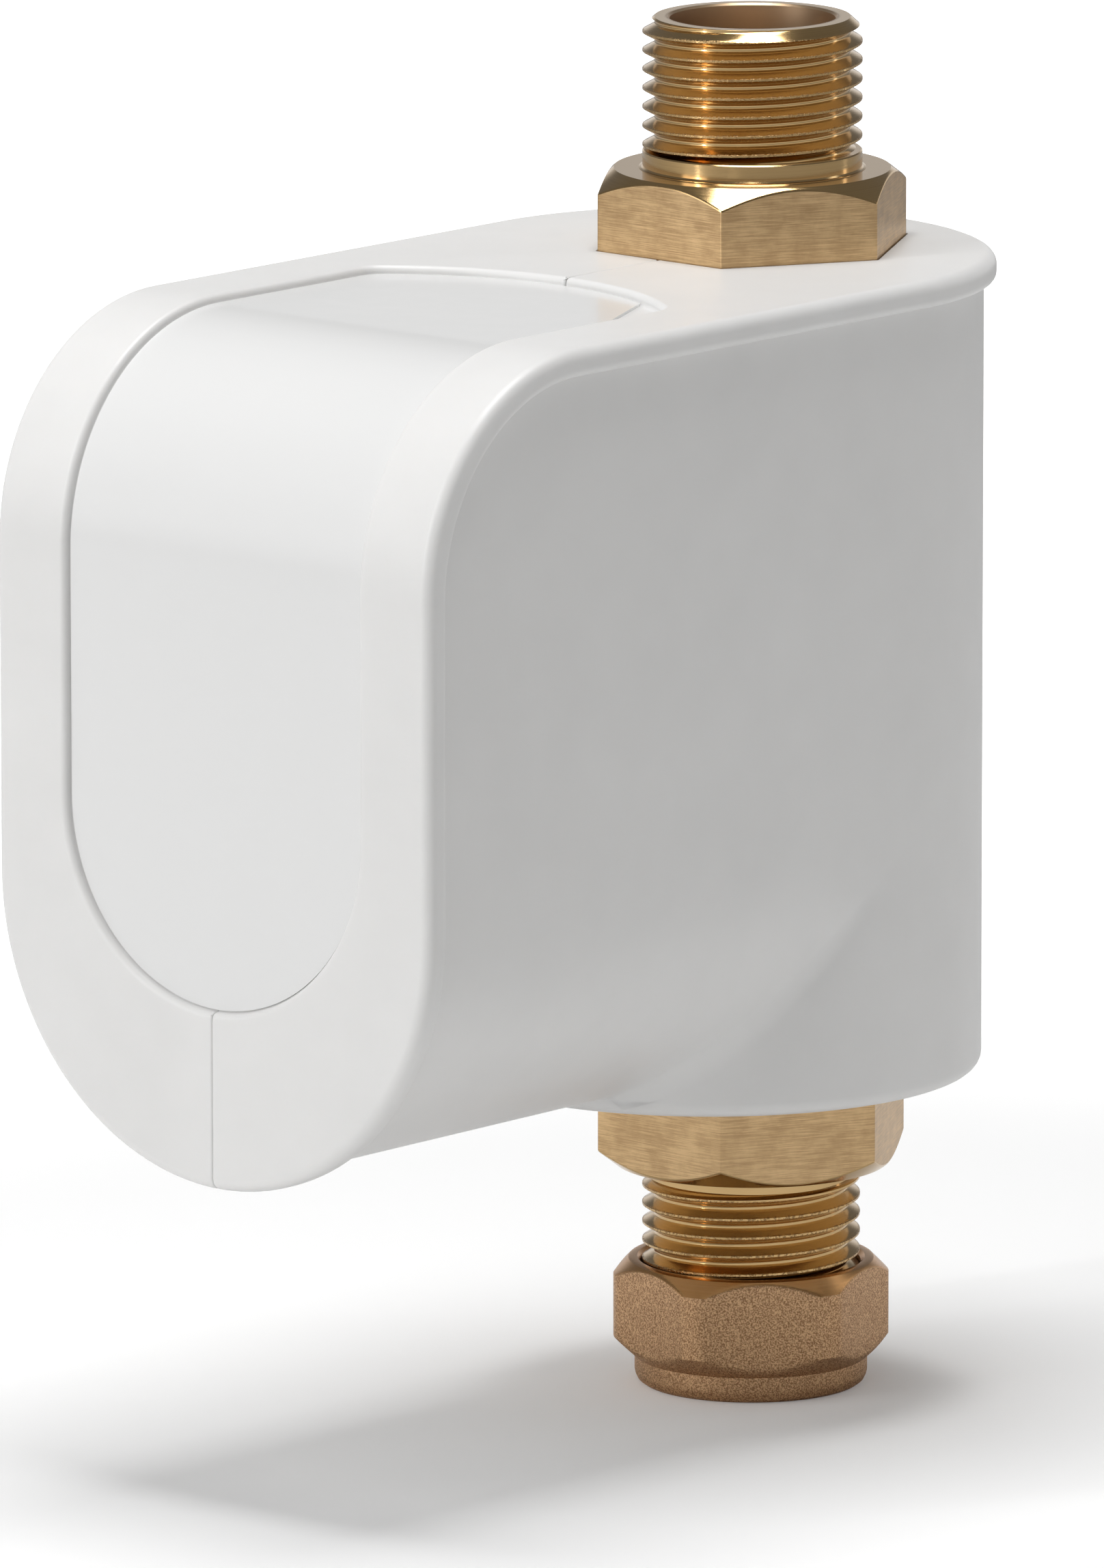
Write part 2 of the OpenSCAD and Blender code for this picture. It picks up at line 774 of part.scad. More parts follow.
module inlet_fitting() {
    hex_low_z = casing_lift - hex_drop;
    color("goldenrod")
        difference() {
            union() {
                translate([0, 0, floor_z + snug])
                    mirror([0, 0, 1])
                        hexagon(floor_z + snug - hex_low_z);
                translate([0, 0, floor_z + snug])
                    cylinder(r = flange_r, h = flange_t);
                translate([0, 0, body_low_z - bite])
                    cylinder(r = spigot_r, h = inlet_spigot_l + bite);
                translate([0, 0, ring_low_z])
                    cylinder(d = inlet_ring_d, h = inlet_ring_h + bite);
                translate([0, 0, ring_low_z])
                    mirror([0, 0, 1])
                        thread(inlet_first, inlet_thread_l, inlet_chamfer);
            }
            translate([0, 0, mouth_z - over])
                cylinder(d = water_d, h = inlet_spigot_z - mouth_z + 2 * over);
            translate([0, 0, mouth_z - over])
                cylinder(r = socket_r, h = over - mouth_z);
            // The cone that the olive seats in
            translate([0, 0, mouth_z - over])
                cylinder(r1 = socket_r + seat_h + over, r2 = socket_r, h = seat_h + over);
            seal_groove(body_low_z + inlet_spigot_l / 2);
        }
}

module fitting_seals() {
    color("dimgray")
        for (z = [body_low_z + inlet_spigot_l / 2, body_high_z - outlet_spigot_l / 2])
            translate([0, 0, z])
                rotate_extrude()
                    translate([spigot_bore_r - seal_ease - seal_d / 2, 0])
                        circle(d = seal_d);
}

module compression_nut() {
    corner_r = nut_hex_r - nut_corner_trim;
    collar_r = nut_af / 2 - nut_collar_step;
    seat_rise_h = nut_seat_r - nut_hole_r;
    color("peru")
        translate([0, 0, nut_z])
            difference() {
                intersection() {
                    rotate([0, 0, nut_turn])
                        cylinder(r = nut_hex_r, h = nut_h, $fn = 6);
                    rotate_extrude()
                        polygon([[0, 0], [collar_r - nut_edge, 0], [collar_r, nut_edge],
                            [collar_r, nut_collar_h], [corner_r, nut_collar_h + nut_shoulder_h],
                            [corner_r, nut_h - corner_r + nut_end_r], [nut_end_r, nut_h], [0, nut_h]]);
                }
                rotate_extrude()
                    polygon([[0, -over], [nut_hole_r, -over], [nut_hole_r, nut_lip],
                        [nut_seat_r, nut_lip + seat_rise_h], [nut_bore_r, nut_lip + seat_rise_h],
                        [nut_bore_r, nut_h - nut_mouth_edge],
                        [nut_bore_r + nut_mouth_edge + over, nut_h + over], [0, nut_h + over]]);
            }
}

module olive() {
    cone_h = olive_r - olive_end_r;
    color("darkgoldenrod")
        translate([0, 0, olive_low_z])
            rotate_extrude()
                polygon([[socket_r, 0], [olive_end_r, 0], [olive_r, cone_h], [olive_r, olive_l - cone_h],
                    [olive_end_r, olive_l], [socket_r, olive_l]]);
}

module inlet_strainer() {
    basket_r = water_d / 2 - bite - bite;
    basket_wall = strainer_flange_t;
    basket_l = inlet_spigot_l - 2 * seal_d;
    slot_w = strainer_flange_t + snug;
    color("lightgray")
        translate([0, 0, inlet_spigot_z + snug])
            difference() {
                union() {
                    cylinder(r = spigot_r, h = strainer_flange_t);
                    translate([0, 0, -basket_l])
                        cylinder(r = basket_r, h = basket_l + bite);
                }
                translate([0, 0, basket_wall - basket_l])
                    cylinder(r = basket_r - basket_wall, h = basket_l + strainer_flange_t + over);
                for (a = [0:30:330])
                    rotate([0, 0, a])
                        translate([basket_r - 2 * basket_wall, -slot_w / 2, 3 * basket_wall - basket_l])
                            cube([3 * basket_wall, slot_w, basket_l - 4 * basket_wall]);
            }
}

module pump_body() {
    cross_angle = atan2(-throat_d, throat_x);
    cross_l = sqrt(pow(throat_d, 2) + pow(throat_x, 2));
    tube_r = throat_r + throat_wall;
    color("gray")
        difference() {
            union() {
                difference() {
                    union() {
                        translate([0, 0, body_low_z])
                            cylinder(r = tower_r, h = body_high_z - body_low_z);
                        on_motor_axis() {
                            cylinder(r = neck_r, h = chamber_back);
                            translate([0, 0, chamber_back - body_wall])
                                cylinder(r = chamber_r + body_wall, h = chamber_depth + body_wall);
                            translate([0, 0, face_d - motor_flange_t])
                                cylinder(r = motor_flange_r, h = motor_flange_t);
                        }
                        translate([throat_x, -throat_d, axis_z])
                            cylinder(r = tube_r, h = cross_z - axis_z + tube_r);
                        translate([0, 0, cross_z])
                            rotate([0, 90, cross_angle])
                                cylinder(r = tube_r, h = cross_l);
                        translate([pad_face_x, -pad_w / 2, pad_z])
                            cube([pad_t + tower_r - piston_bore_r - bite, pad_w, pad_h]);
                    }
                    // The inlet's socket, and the way up to the impeller's eye
                    translate([0, 0, body_low_z - over])
                        cylinder(r = spigot_bore_r, h = feed_z - body_low_z + over);
                    translate([0, 0, body_low_z])
                        cylinder(d = water_d, h = axis_z + eye_r - body_low_z);
                    on_motor_axis() {
                        cylinder(r = eye_r, h = face_d);
                        translate([0, 0, chamber_back])
                            cylinder(r = chamber_r, h = chamber_depth + over);
                        for (a = [45:90:315])
                            rotate([0, 0, a])
                                translate([motor_screw_ring, 0, face_d - motor_screw_grip - bite])
                                    cylinder(d = motor_screw_d + 2 * snug, h = motor_screw_grip + over);
                        translate([0, 0, face_d - seal_d - 2 * seal_ease])
                            rotate_extrude()
                                translate([seal_groove_r - seal_d / 2 - groove_side, 0])
                                    square([seal_d + 2 * groove_side, seal_d + over]);
                    }
                    // The way out of the chamber, across to the upright tube and up past the flow switch
                    translate([throat_x, -throat_d, axis_z])
                        cylinder(r = throat_r, h = cross_z - axis_z + throat_r);
                    translate([0, 0, cross_z])
                        rotate([0, 90, cross_angle])
                            cylinder(r = throat_r - bite, h = cross_l);
                    translate([0, 0, cross_z - throat_r - seat_rise])
                        cylinder(r = piston_bore_r, h = 2 * throat_r + 2 * seat_rise);
                    translate([0, 0, cross_z])
                        cylinder(r = seat_hole_r, h = seat_z + seat_t - cross_z + over);
                    translate([0, 0, seat_z + seat_t])
                        cylinder(r = piston_bore_r, h = stop_z - seat_z - seat_t);
                    translate([0, 0, stop_z - snug])
                        cylinder(r = spigot_bore_r, h = body_high_z - stop_z + snug + over);
                    along_x(pad_face_x - over, pad_face_x + sensor_screw_l - sensor_board_t + bite,
                        [0, pad_z + sensor_screw_rise], sensor_screw_d / 2 + snug);
                }
                // The spider in the impeller's eye that holds the shaft
                on_motor_axis(chamber_back - spider_l) {
                    cylinder(r = spider_r, h = spider_l);
                    for (a = [90:120:330])
                        rotate([0, 0, a])
                            translate([0, -spider_arm_t / 2, 0])
                                cube([eye_r + bite, spider_arm_t, spider_l]);
                }
            }
            on_motor_axis(shaft_start - snug)
                cylinder(r = shaft_r + snug, h = spider_l);
        }
}

module can_seal() {
    color("dimgray")
        on_motor_axis(face_d - seal_d / 2 - seal_ease)
            rotate_extrude()
                translate([seal_groove_r, 0])
                    circle(d = seal_d);
}

module separation_can() {
    color("lightsteelblue")
        on_motor_axis(face_d)
            difference() {
                union() {
                    cylinder(r = can_flange_r, h = can_flange_t);
                    cylinder(r = can_r + can_wall, h = can_depth + can_flange_t);
                }
                difference() {
                    translate([0, 0, -over])
                        cylinder(r = can_r, h = can_depth + over);
                    translate([0, 0, can_depth - can_boss_l])
                        cylinder(r = can_boss_r, h = can_boss_l + over);
                }
                translate([0, 0, can_depth - can_boss_l - over])
                    cylinder(r = shaft_r + snug, h = can_boss_l + over);
            }
}

module pump_shaft() {
    color("silver")
        on_motor_axis(shaft_start)
            cylinder(r = shaft_r, h = can_end_d - snug - shaft_start);
}

module thrust_washers() {
    color("ivory")
        for (d = [chamber_back, can_end_d - can_boss_l - washer_t])
            on_motor_axis(d)
                difference() {
                    cylinder(r = washer_r, h = washer_t);
                    translate([0, 0, -over])
                        cylinder(r = shaft_r + snug, h = washer_t + 2 * over);
                }
}

module rotor_bushes() {
    color("dimgray")
        for (d = [rotor_start, rotor_end - bush_l])
            on_motor_axis(d)
                difference() {
                    cylinder(r = bush_r, h = bush_l);
                    translate([0, 0, -over])
                        cylinder(r = bush_bore_r, h = bush_l + 2 * over);
                }
}

module rotor_magnet() {
    color("darkslategray")
        on_motor_axis(magnet_start)
            difference() {
                cylinder(r = magnet_r, h = magnet_l);
                translate([0, 0, -over])
                    cylinder(r = sleeve_r + snug, h = magnet_l + 2 * over);
            }
}

module impeller() {
    color("lightgray")
        difference() {
            on_motor_axis(rotor_start) {
                cylinder(r = impeller_hub_r, h = impeller_d + impeller_l - rotor_start);
                translate([0, 0, impeller_d + impeller_l - bite - rotor_start])
                    cylinder(r = sleeve_r, h = rotor_end - impeller_d - impeller_l + bite);
                translate([0, 0, impeller_d - rotor_start]) {
                    difference() {
                        cylinder(r = impeller_r, h = shroud_t);
                        translate([0, 0, -over])
                            cylinder(r = eye_r, h = shroud_t + 2 * over);
                    }
                    translate([0, 0, shroud_t + vane_h])
                        cylinder(r = impeller_r, h = shroud_t);
                    for (i = [0:vanes - 1])
                        rotate([0, 0, i * 360 / vanes])
                            translate([vane_centre_share * impeller_r, 0, shroud_t - bite])
                                rotate([0, 0, vane_from])
                                    rotate_extrude(angle = vane_sweep)
                                        translate([vane_radius_share * impeller_r - vane_t / 2, 0])
                                            square([vane_t, vane_h + 2 * bite]);
                }
            }
            on_motor_axis(rotor_start - over)
                cylinder(r = bush_r + snug, h = rotor_end - rotor_start + 2 * over);
        }
}

module stator_core() {
    color("slategray")
        on_motor_axis(stator_start)
            difference() {
                union() {
                    difference() {
                        cylinder(r = stator_r, h = stator_l);
                        translate([0, 0, -over])
                            cylinder(r = stator_r - yoke_t, h = stator_l + 2 * over);
                    }
                    difference() {
                        cylinder(r = stator_bore_r + shoe_t, h = stator_l);
                        for (i = [0:teeth - 1])
                            rotate([0, 0, i * 360 / teeth])
                                translate([0, -shoe_gap / 2, -over])
                                    cube([stator_r, shoe_gap, stator_l + 2 * over]);
                    }
                    for (i = [0:teeth - 1])
                        rotate([0, 0, (i + 0.5) * 360 / teeth])
                            translate([stator_bore_r + shoe_t / 2, -tooth_w / 2, 0])
                                cube([stator_r - (yoke_t + shoe_t) / 2 - stator_bore_r, tooth_w, stator_l]);
                }
                translate([0, 0, -over])
                    cylinder(r = stator_bore_r, h = stator_l + 2 * over);
            }
}

module stator_coils() {
    inner_w = tooth_w + 2 * coil_play;
    color("chocolate")
        on_motor_axis(stator_start + stator_l / 2)
            for (i = [0:teeth - 1])
                rotate([0, 0, (i + 0.5) * 360 / teeth])
                    translate([(coil_r_in + coil_r_out) / 2, 0, 0])
                        difference() {
                            cube([coil_r_out - coil_r_in, inner_w + 2 * coil_w, stator_l + 2 * winding_out],
                                center = true);
                            cube([coil_r_out, inner_w, stator_l + 2 * coil_play], center = true);
                        }
}

module stator_insulators() {
    color("ivory")
        for (d = [stator_start - insulator_l, stator_end])
            on_motor_axis(d)
                difference() {
                    cylinder(r = stator_r - snug, h = insulator_l);
                    translate([0, 0, -over])
                        cylinder(r = stator_r - yoke_t * 2 / 3, h = insulator_l + 2 * over);
                    // The rear ring is open at the top for the leads
                    if (d == stator_end)
                        translate([-lead_slot_w / 2, 0, -over])
                            cube([lead_slot_w, stator_r, insulator_l + 2 * over]);
                }
}

module motor_cover() {
    color("darkgray")
        on_motor_axis(face_d)
            difference() {
                union() {
                    cylinder(r = motor_flange_r, h = cover_flange_t);
                    cylinder(r = cover_r, h = cover_depth + cover_wall);
                }
                translate([0, 0, -over])
                    cylinder(r = can_flange_r + snug, h = can_flange_t + over + snug);
                cylinder(r = stator_r + snug, h = cover_depth);
                for (a = [45:90:315])
                    rotate([0, 0, a])
                        translate([motor_screw_ring, 0, -over])
                            cylinder(d = motor_screw_d + 2 * snug, h = cover_flange_t + 2 * over);
                translate([-lead_slot_w / 2, stator_r - cover_wall, lead_d - face_d - lead_slot_l / 2])
                    cube([lead_slot_w, cover_wall + cover_r, lead_slot_l]);
            }
}

module motor_screws() {
    color("silver")
        for (a = [45:90:315])
            on_motor_axis(face_d)
                rotate([0, 0, a])
                    translate([motor_screw_ring, 0, 0])
                        difference() {
                            union() {
                                translate([0, 0, -motor_screw_grip])
                                    cylinder(d = motor_screw_d, h = motor_screw_grip + cover_flange_t + bite);
                                translate([0, 0, cover_flange_t])
                                    cylinder(d = motor_head_d, h = motor_head_h);
                            }
                            translate([0, 0, cover_flange_t + motor_head_h / 2])
                                cylinder(d = motor_head_d / 2, h = motor_head_h, $fn = 6);
                        }
}

module motor_cushions() {
    color("black")
        for (share = cushion_shares)
            on_motor_axis(face_d + share * cover_depth)
                difference() {
                    cylinder(r = room_half - snug, h = cushion_w);
                    translate([0, 0, -over])
                        cylinder(r = cover_r + snug, h = cushion_w + 2 * over);
                }
}

module controller_board() {
    color("darkgreen")
        translate([-board_half, -board_start - board_l, board_z])
            cube([2 * board_half, board_l, board_t]);
}

// A box that stands on the board at a place given by shares of the board
module on_board(share, size) {
    translate([share[0] * board_half - size[0] / 2, -board_start - share[1] * board_l - size[1] / 2,
            board_z + board_t])
        cube(size);
}

module board_components() {
    color("dimgray") {
        translate([capacitor_share[0] * board_half, -board_start - capacitor_share[1] * board_l, 0])
            translate([0, 0, board_z + board_t])
                cylinder(d = capacitor_d, h = capacitor_h);
        on_board(choke_share, choke_size);
        on_board(chip_share, chip_size);
        for (share = switch_shares)
            on_board(share, switch_size);
        on_board(terminal_share, terminal_size);
        on_board(plug_share, plug_size);
    }
}

module motor_leads() {
    color("red")
        for (x = [-lead_pitch, 0, lead_pitch])
            translate([x, -lead_d, axis_z + coil_r_out])
                cylinder(r = lead_r, h = board_z - axis_z - coil_r_out);
}

module sensor_leads() {
    color("orange")
        for (side = [-1, 1])
            translate([pad_face_x - sensor_board_t / 2, -pad_w / 2,
                    board_z + board_t / 2 + side * (sensor_wire_r + snug)])
                rotate([90, 0, 0])
                    cylinder(r = sensor_wire_r, h = board_start - pad_w / 2);
}

module flow_sensor() {
    color("seagreen")
        difference() {
            union() {
                translate([pad_face_x - sensor_board_t, -pad_w / 2, pad_z])
                    cube([sensor_board_t, pad_w, pad_h]);
                translate([pad_face_x - sensor_board_t - reed_r + bite, 0, pad_z + reed_r])
                    cylinder(r = reed_r, h = reed_l);
            }
            along_x(pad_face_x - sensor_board_t - over, pad_face_x + over,
                [0, pad_z + sensor_screw_rise], sensor_screw_d / 2 + snug);
        }
}

module sensor_screw() {
    place = [0, pad_z + sensor_screw_rise];
    head_x = pad_face_x - sensor_board_t;
    color("silver")
        difference() {
            union() {
                along_x(head_x - sensor_head_h, head_x, place, sensor_head_d / 2);
                along_x(head_x - bite, head_x + sensor_screw_l, place, sensor_screw_d / 2);
            }
            translate([head_x - sensor_head_h - over, 0, place[1]])
                rotate([0, 90, 0])
                    cylinder(d = sensor_head_d / 2, h = sensor_head_h / 2 + over, $fn = 6);
        }
}

module flow_piston() {
    fin_in = piston_magnet_r + bite;
    fin_out = piston_bore_r - free;
    color("white")
        translate([0, 0, piston_z])
            difference() {
                union() {
                    cylinder(r = piston_r, h = disc_t);
                    cylinder(r = piston_sleeve_r, h = piston_h);
                    for (a = [45:90:315])
                        rotate([0, 0, a])
                            translate([fin_in, -fin_t / 2, 0])
                                cube([fin_out - fin_in, fin_t, fin_h]);
                }
                translate([0, 0, disc_t])
                    cylinder(r = piston_sleeve_bore, h = piston_h);
            }
}

module piston_magnet() {
    color("darkslategray")
        translate([0, 0, piston_z + disc_t])
            difference() {
                cylinder(r = piston_magnet_r, h = piston_magnet_h);
                translate([0, 0, -over])
                    cylinder(r = piston_sleeve_r + snug, h = piston_magnet_h + 2 * over);
            }
}

// One unbroken coil of round wire between the piston and its stop
module piston_spring() {
    wire_r = spring_wire / 2;
    low = piston_z + disc_t + snug + wire_r;
    rise = stop_z - snug - wire_r - low;
    rings = spring_turns * spring_steps;
    points = [for (i = [0:rings], j = [0:spring_sides - 1])
        let (a = 360 * i / spring_steps, b = 360 * j / spring_sides, r = spring_r + wire_r * cos(b))
            [r * cos(a), r * sin(a), low + rise * i / rings + wire_r * sin(b)]];
    sides = [for (i = [0:rings - 1], j = [0:spring_sides - 1], k = [0, 1])
        let (p = i * spring_sides + j, q = i * spring_sides + (j + 1) % spring_sides)
            k == 0 ? [p, q, q + spring_sides] : [p, q + spring_sides, p + spring_sides]];
    start = [[for (j = [spring_sides - 1:-1:0]) j]];
    end = [[for (j = [0:spring_sides - 1]) rings * spring_sides + j]];
    color("silver")
        polyhedron(points = points, faces = concat(sides, start, end));
}

module piston_stop() {
    ring_in = piston_bore_r - stop_t / 2;
    color("lightgray") {
        translate([0, 0, stop_z]) {
            difference() {
                cylinder(r = spigot_bore_r - snug, h = stop_t);
                translate([0, 0, -over])
                    cylinder(r = ring_in, h = stop_t + 2 * over);
            }
            cylinder(r = stop_hub_r, h = stop_t);
            for (a = [90:120:330])
                rotate([0, 0, a])
                    translate([0, -stop_arm_t / 2, 0])
                        cube([ring_in + bite, stop_arm_t, stop_t]);
            translate([0, 0, -stop_pin_l])
                cylinder(r = stop_pin_r, h = stop_pin_l + bite);
        }
    }
}

module cable_grommet() {
    place = [grommet_y, axis_z + grommet_rise];
    color("darkgray")
        difference() {
            union() {
                along_x(-body_half - grommet_head_t, -body_half, place, grommet_head_r);
                along_x(-body_half - bite, bite - room_half, place, grommet_neck_r);
                along_x(-room_half, grommet_flange_t - room_half, place, grommet_head_r);
            }
            along_x(-half_w - over, grommet_flange_t + over - room_half, place, cable_d / 2);
        }
}

casing_right();
casing_left();
casing_screws();
label_film();
cable_grommet();
outlet_fitting();
inlet_fitting();
fitting_seals();
compression_nut();
olive();
inlet_strainer();
pump_body();
can_seal();
separation_can();
pump_shaft();
thrust_washers();
rotor_bushes();
rotor_magnet();
impeller();
stator_core();
stator_coils();
stator_insulators();
motor_cover();
motor_screws();
motor_cushions();
controller_board();
board_components();
motor_leads();
sensor_leads();
flow_sensor();
sensor_screw();
flow_piston();
piston_magnet();
piston_spring();
piston_stop();
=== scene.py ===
import math

import bmesh
import bpy
from mathutils import Matrix, Vector


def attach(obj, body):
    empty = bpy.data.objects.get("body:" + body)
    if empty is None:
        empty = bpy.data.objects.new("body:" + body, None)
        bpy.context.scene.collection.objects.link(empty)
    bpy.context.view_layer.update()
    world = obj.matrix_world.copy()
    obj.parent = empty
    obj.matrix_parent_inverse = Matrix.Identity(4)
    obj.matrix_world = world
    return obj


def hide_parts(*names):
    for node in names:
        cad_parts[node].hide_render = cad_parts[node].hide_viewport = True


# The solid model comes first. Its nodes are the frame that every piece below is made on, and
# its box is the size that the finished pump keeps.
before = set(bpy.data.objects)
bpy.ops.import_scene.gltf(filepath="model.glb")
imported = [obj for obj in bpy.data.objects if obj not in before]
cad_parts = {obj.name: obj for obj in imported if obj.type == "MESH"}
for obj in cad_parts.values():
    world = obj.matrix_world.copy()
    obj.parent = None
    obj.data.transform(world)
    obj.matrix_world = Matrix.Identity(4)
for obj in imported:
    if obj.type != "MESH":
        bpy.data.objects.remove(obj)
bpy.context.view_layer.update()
mm = 0.001

# The pump body. It is moulded in black, glass-filled plastic, with the socket for the inlet, the
# chamber for the impeller and the upright tube for the flow switch in one piece.


class Wire:
    """A value on its way through a material. A sum on it adds the Math nodes that work it out."""

    def __init__(self, socket):
        self.socket = socket

    def maths(self, operation, *values):
        node = self.socket.id_data.nodes.new("ShaderNodeMath")
        node.operation = operation
        for value, socket in zip(values, node.inputs):
            feed(value, socket)
        return Wire(node.outputs[0])

    def __add__(self, other):
        return self.maths("ADD", self, other)

    def __sub__(self, other):
        return self.maths("SUBTRACT", self, other)

    def __rsub__(self, other):
        return self.maths("SUBTRACT", other, self)

    def __mul__(self, other):
        return self.maths("MULTIPLY", self, other)

    def __truediv__(self, other):
        return self.maths("DIVIDE", self, other)

    def __pow__(self, other):
        return self.maths("POWER", self, other)

    def __abs__(self):
        return self.maths("ABSOLUTE", self)

    __radd__ = __add__
    __rmul__ = __mul__

    def band(self, low, high):
        """0 below one value, 1 above another and a soft step between them."""
        node = self.socket.id_data.nodes.new("ShaderNodeMapRange")
        node.interpolation_type = "SMOOTHSTEP"
        for value, name in ((self, "Value"), (low, "From Min"), (high, "From Max")):
            feed(value, node.inputs[name])
        return Wire(node.outputs["Result"])

    def waves(self, length):
        """Waves from 0 to 1 and back, each of the given length."""
        angle = self * (2 * math.pi / length)
        return angle.maths("SINE", angle) * 0.5 + 0.5


def feed(value, socket):
    """Gives a node's socket a value: a link, a number or a colour."""
    if isinstance(value, Wire):
        socket.id_data.links.new(value.socket, socket)
    elif isinstance(value, tuple) and socket.type == "RGBA":
        socket.default_value = (*value, 1.0)
    else:
        socket.default_value = value


class Finish:
    """A material. What is the same all over goes on its shader's own sockets."""

    def __init__(self, name, **constants):
        self.material = bpy.data.materials.new(name)
        self.material.use_nodes = True
        self.nodes = self.material.node_tree.nodes
        self.shader = self.nodes["Principled BSDF"]
        for socket, value in constants.items():
            self.set(socket.replace("_", " ").title(), value)
        self.place = self.node("ShaderNodeTexCoord", output="Object")

    def set(self, socket, value):
        feed(value, self.shader.inputs[socket])

    def node(self, kind, settings=None, values=None, output=0):
        """Adds a node, and gives what comes out of it."""
        made = self.nodes.new(kind)
        for key, value in (settings or {}).items():
            setattr(made, key, value)
        for key, value in (values or {}).items():
            feed(value, made.inputs[key])
        return Wire(made.outputs[output])

    def axes(self, vector=None):
        """The X, Y and Z of a vector, or of the place on the piece."""
        node = self.node("ShaderNodeSeparateXYZ", {}, {0: vector or self.place}).socket.node
        return [Wire(output) for output in node.outputs]

    def stretched(self, x, y, z):
        """The place on the piece, with each axis scaled, for a grain that runs one way."""
        values = {0: self.place, 1: (x, y, z)}
        return self.node("ShaderNodeVectorMath", {"operation": "MULTIPLY"}, values)

    def noise(self, size, detail=3.0, rough=0.55, place=None):
        """Noise whose lumps are about the given size in metres."""
        values = {"Vector": place or self.place, "Scale": 1 / size}
        values.update({"Detail": detail, "Roughness": rough})
        return self.node("ShaderNodeTexNoise", {}, values)

    def mix(self, share, first, second):
        return self.node(
            "ShaderNodeMix", {"data_type": "RGBA"}, {0: share, 6: first, 7: second}, output=2
        )

    def bump(self, height, depth, strength=1.0):
        """Raises the surface by a height from 0 to 1, times a depth in metres."""
        values = {"Height": height, "Distance": depth, "Strength": strength}
        self.set("Normal", self.node("ShaderNodeBump", {}, values, "Normal"))


def dress(finish, *pieces):
    """Puts a finish on a piece, or on a node of the solid model by its name."""
    for piece in pieces:
        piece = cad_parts[piece] if isinstance(piece, str) else piece
        if not piece.material_slots:
            piece.data.materials.append(finish.material)
        for slot in piece.material_slots:
            slot.material = finish.material


def moulded(name, colour, roughness, grain=0.3 * mm, depth=0.02 * mm):
    """Moulded plastic: a fine spark-eroded grain, and a faint cloudiness in colour and gloss."""
    finish = Finish(name, base_color=colour, roughness=roughness)
    cloud = finish.noise(9 * mm, 2.0)
    darker = tuple(0.93 * c for c in colour)
    finish.set("Base Color", finish.mix(cloud, colour, darker))
    finish.set("Roughness", cloud * 0.08 + (roughness - 0.04))
    finish.bump(finish.noise(grain, 2.0), depth)
    return finish


dress(moulded("body_plastic", (0.022, 0.023, 0.025), 0.5), "pump_body")

# The shaft that the rotor turns on. It is ground and polished stainless steel, pressed into the
# pump body's spider at one end and held in the can's end at the other.


def metal(name, colour, roughness, size=(0.2 * mm, 2 * mm, 0.2 * mm), spread=0.12):
    """Plain metal with a grain whose size along X, Y and Z is given."""
    finish = Finish(name, base_color=colour, metallic=1.0, roughness=roughness)
    lines = finish.noise(1.0, 3.0, 0.6, finish.stretched(*(1 / s for s in size)))
    finish.set("Roughness", lines * spread + (roughness - spread / 2))
    finish.set("Base Color", finish.mix(lines, tuple(0.8 * c for c in colour), colour))
    finish.bump(lines, 0.002 * mm)
    return finish


dress(metal("shaft_steel", (0.6, 0.61, 0.62), 0.18, (0.1 * mm, 8 * mm, 0.1 * mm)), "pump_shaft")

# The thrust washers at the ends of the rotor. They are fired ceramic, ground flat and ivory.
dress(moulded("washer_ceramic", (0.72, 0.68, 0.58), 0.3, 0.15 * mm, 0.003 * mm), "thrust_washers")

# The two bushes that the rotor turns on. They are pressed carbon, dark and a little greasy.
carbon = Finish("bush_carbon", roughness=0.45)
soot = carbon.noise(0.25 * mm, 4.0)
carbon.set("Base Color", carbon.mix(soot, (0.012, 0.012, 0.013), (0.045, 0.045, 0.047)))
carbon.set("Roughness", soot * 0.25 + 0.3)
carbon.bump(soot, 0.006 * mm)
dress(carbon, "rotor_bushes")

# The rotor magnet and the piston's magnet. They are sintered ferrite: dull, dark and grainy.
ferrite = Finish("magnet_ferrite", roughness=0.6)
speck = ferrite.noise(0.5 * mm, 4.0)
ferrite.set("Base Color", ferrite.mix(speck, (0.02, 0.02, 0.022), (0.06, 0.06, 0.065)))
ferrite.set("Roughness", speck * 0.2 + 0.5)
ferrite.bump(speck, 0.02 * mm)
dress(ferrite, "rotor_magnet", "piston_magnet")

# The impeller and its hub. They are moulded in pale grey plastic, as smooth as the tool.
dress(moulded("impeller_plastic", (0.46, 0.46, 0.44), 0.38, depth=0.008 * mm), "impeller")

# The can between the water and the windings. It is drawn from thin stainless steel, and the
# draw leaves fine lines along it.
can_lines = (0.25 * mm, 9 * mm, 0.25 * mm)
dress(metal("can_steel", (0.58, 0.58, 0.57), 0.28, can_lines), "separation_can")

# The stator's core. It is a stack of thin iron sheets, and their edges show as fine rings.
iron = Finish("stator_iron", metallic=0.9, roughness=0.45)
sheet_t = 0.5 * mm
sheets = iron.axes()[1].waves(sheet_t)
blued = iron.noise(5 * mm, 3.0)
iron.set("Base Color", iron.mix(blued, (0.16, 0.17, 0.19), (0.27, 0.26, 0.25)))
iron.set("Roughness", sheets * 0.15 + 0.35)
iron.bump(sheets, 0.03 * mm)
dress(iron, "stator_core")

# The insulating rings and the piston are moulded in natural white nylon, and look a little waxy.
nylon = moulded("insulator_plastic", (0.7, 0.68, 0.6), 0.4, 0.25 * mm, 0.006 * mm)
dress(nylon, "stator_insulators")
dress(moulded("piston_acetal", (0.74, 0.74, 0.72), 0.32, 0.25 * mm, 0.004 * mm), "flow_piston")

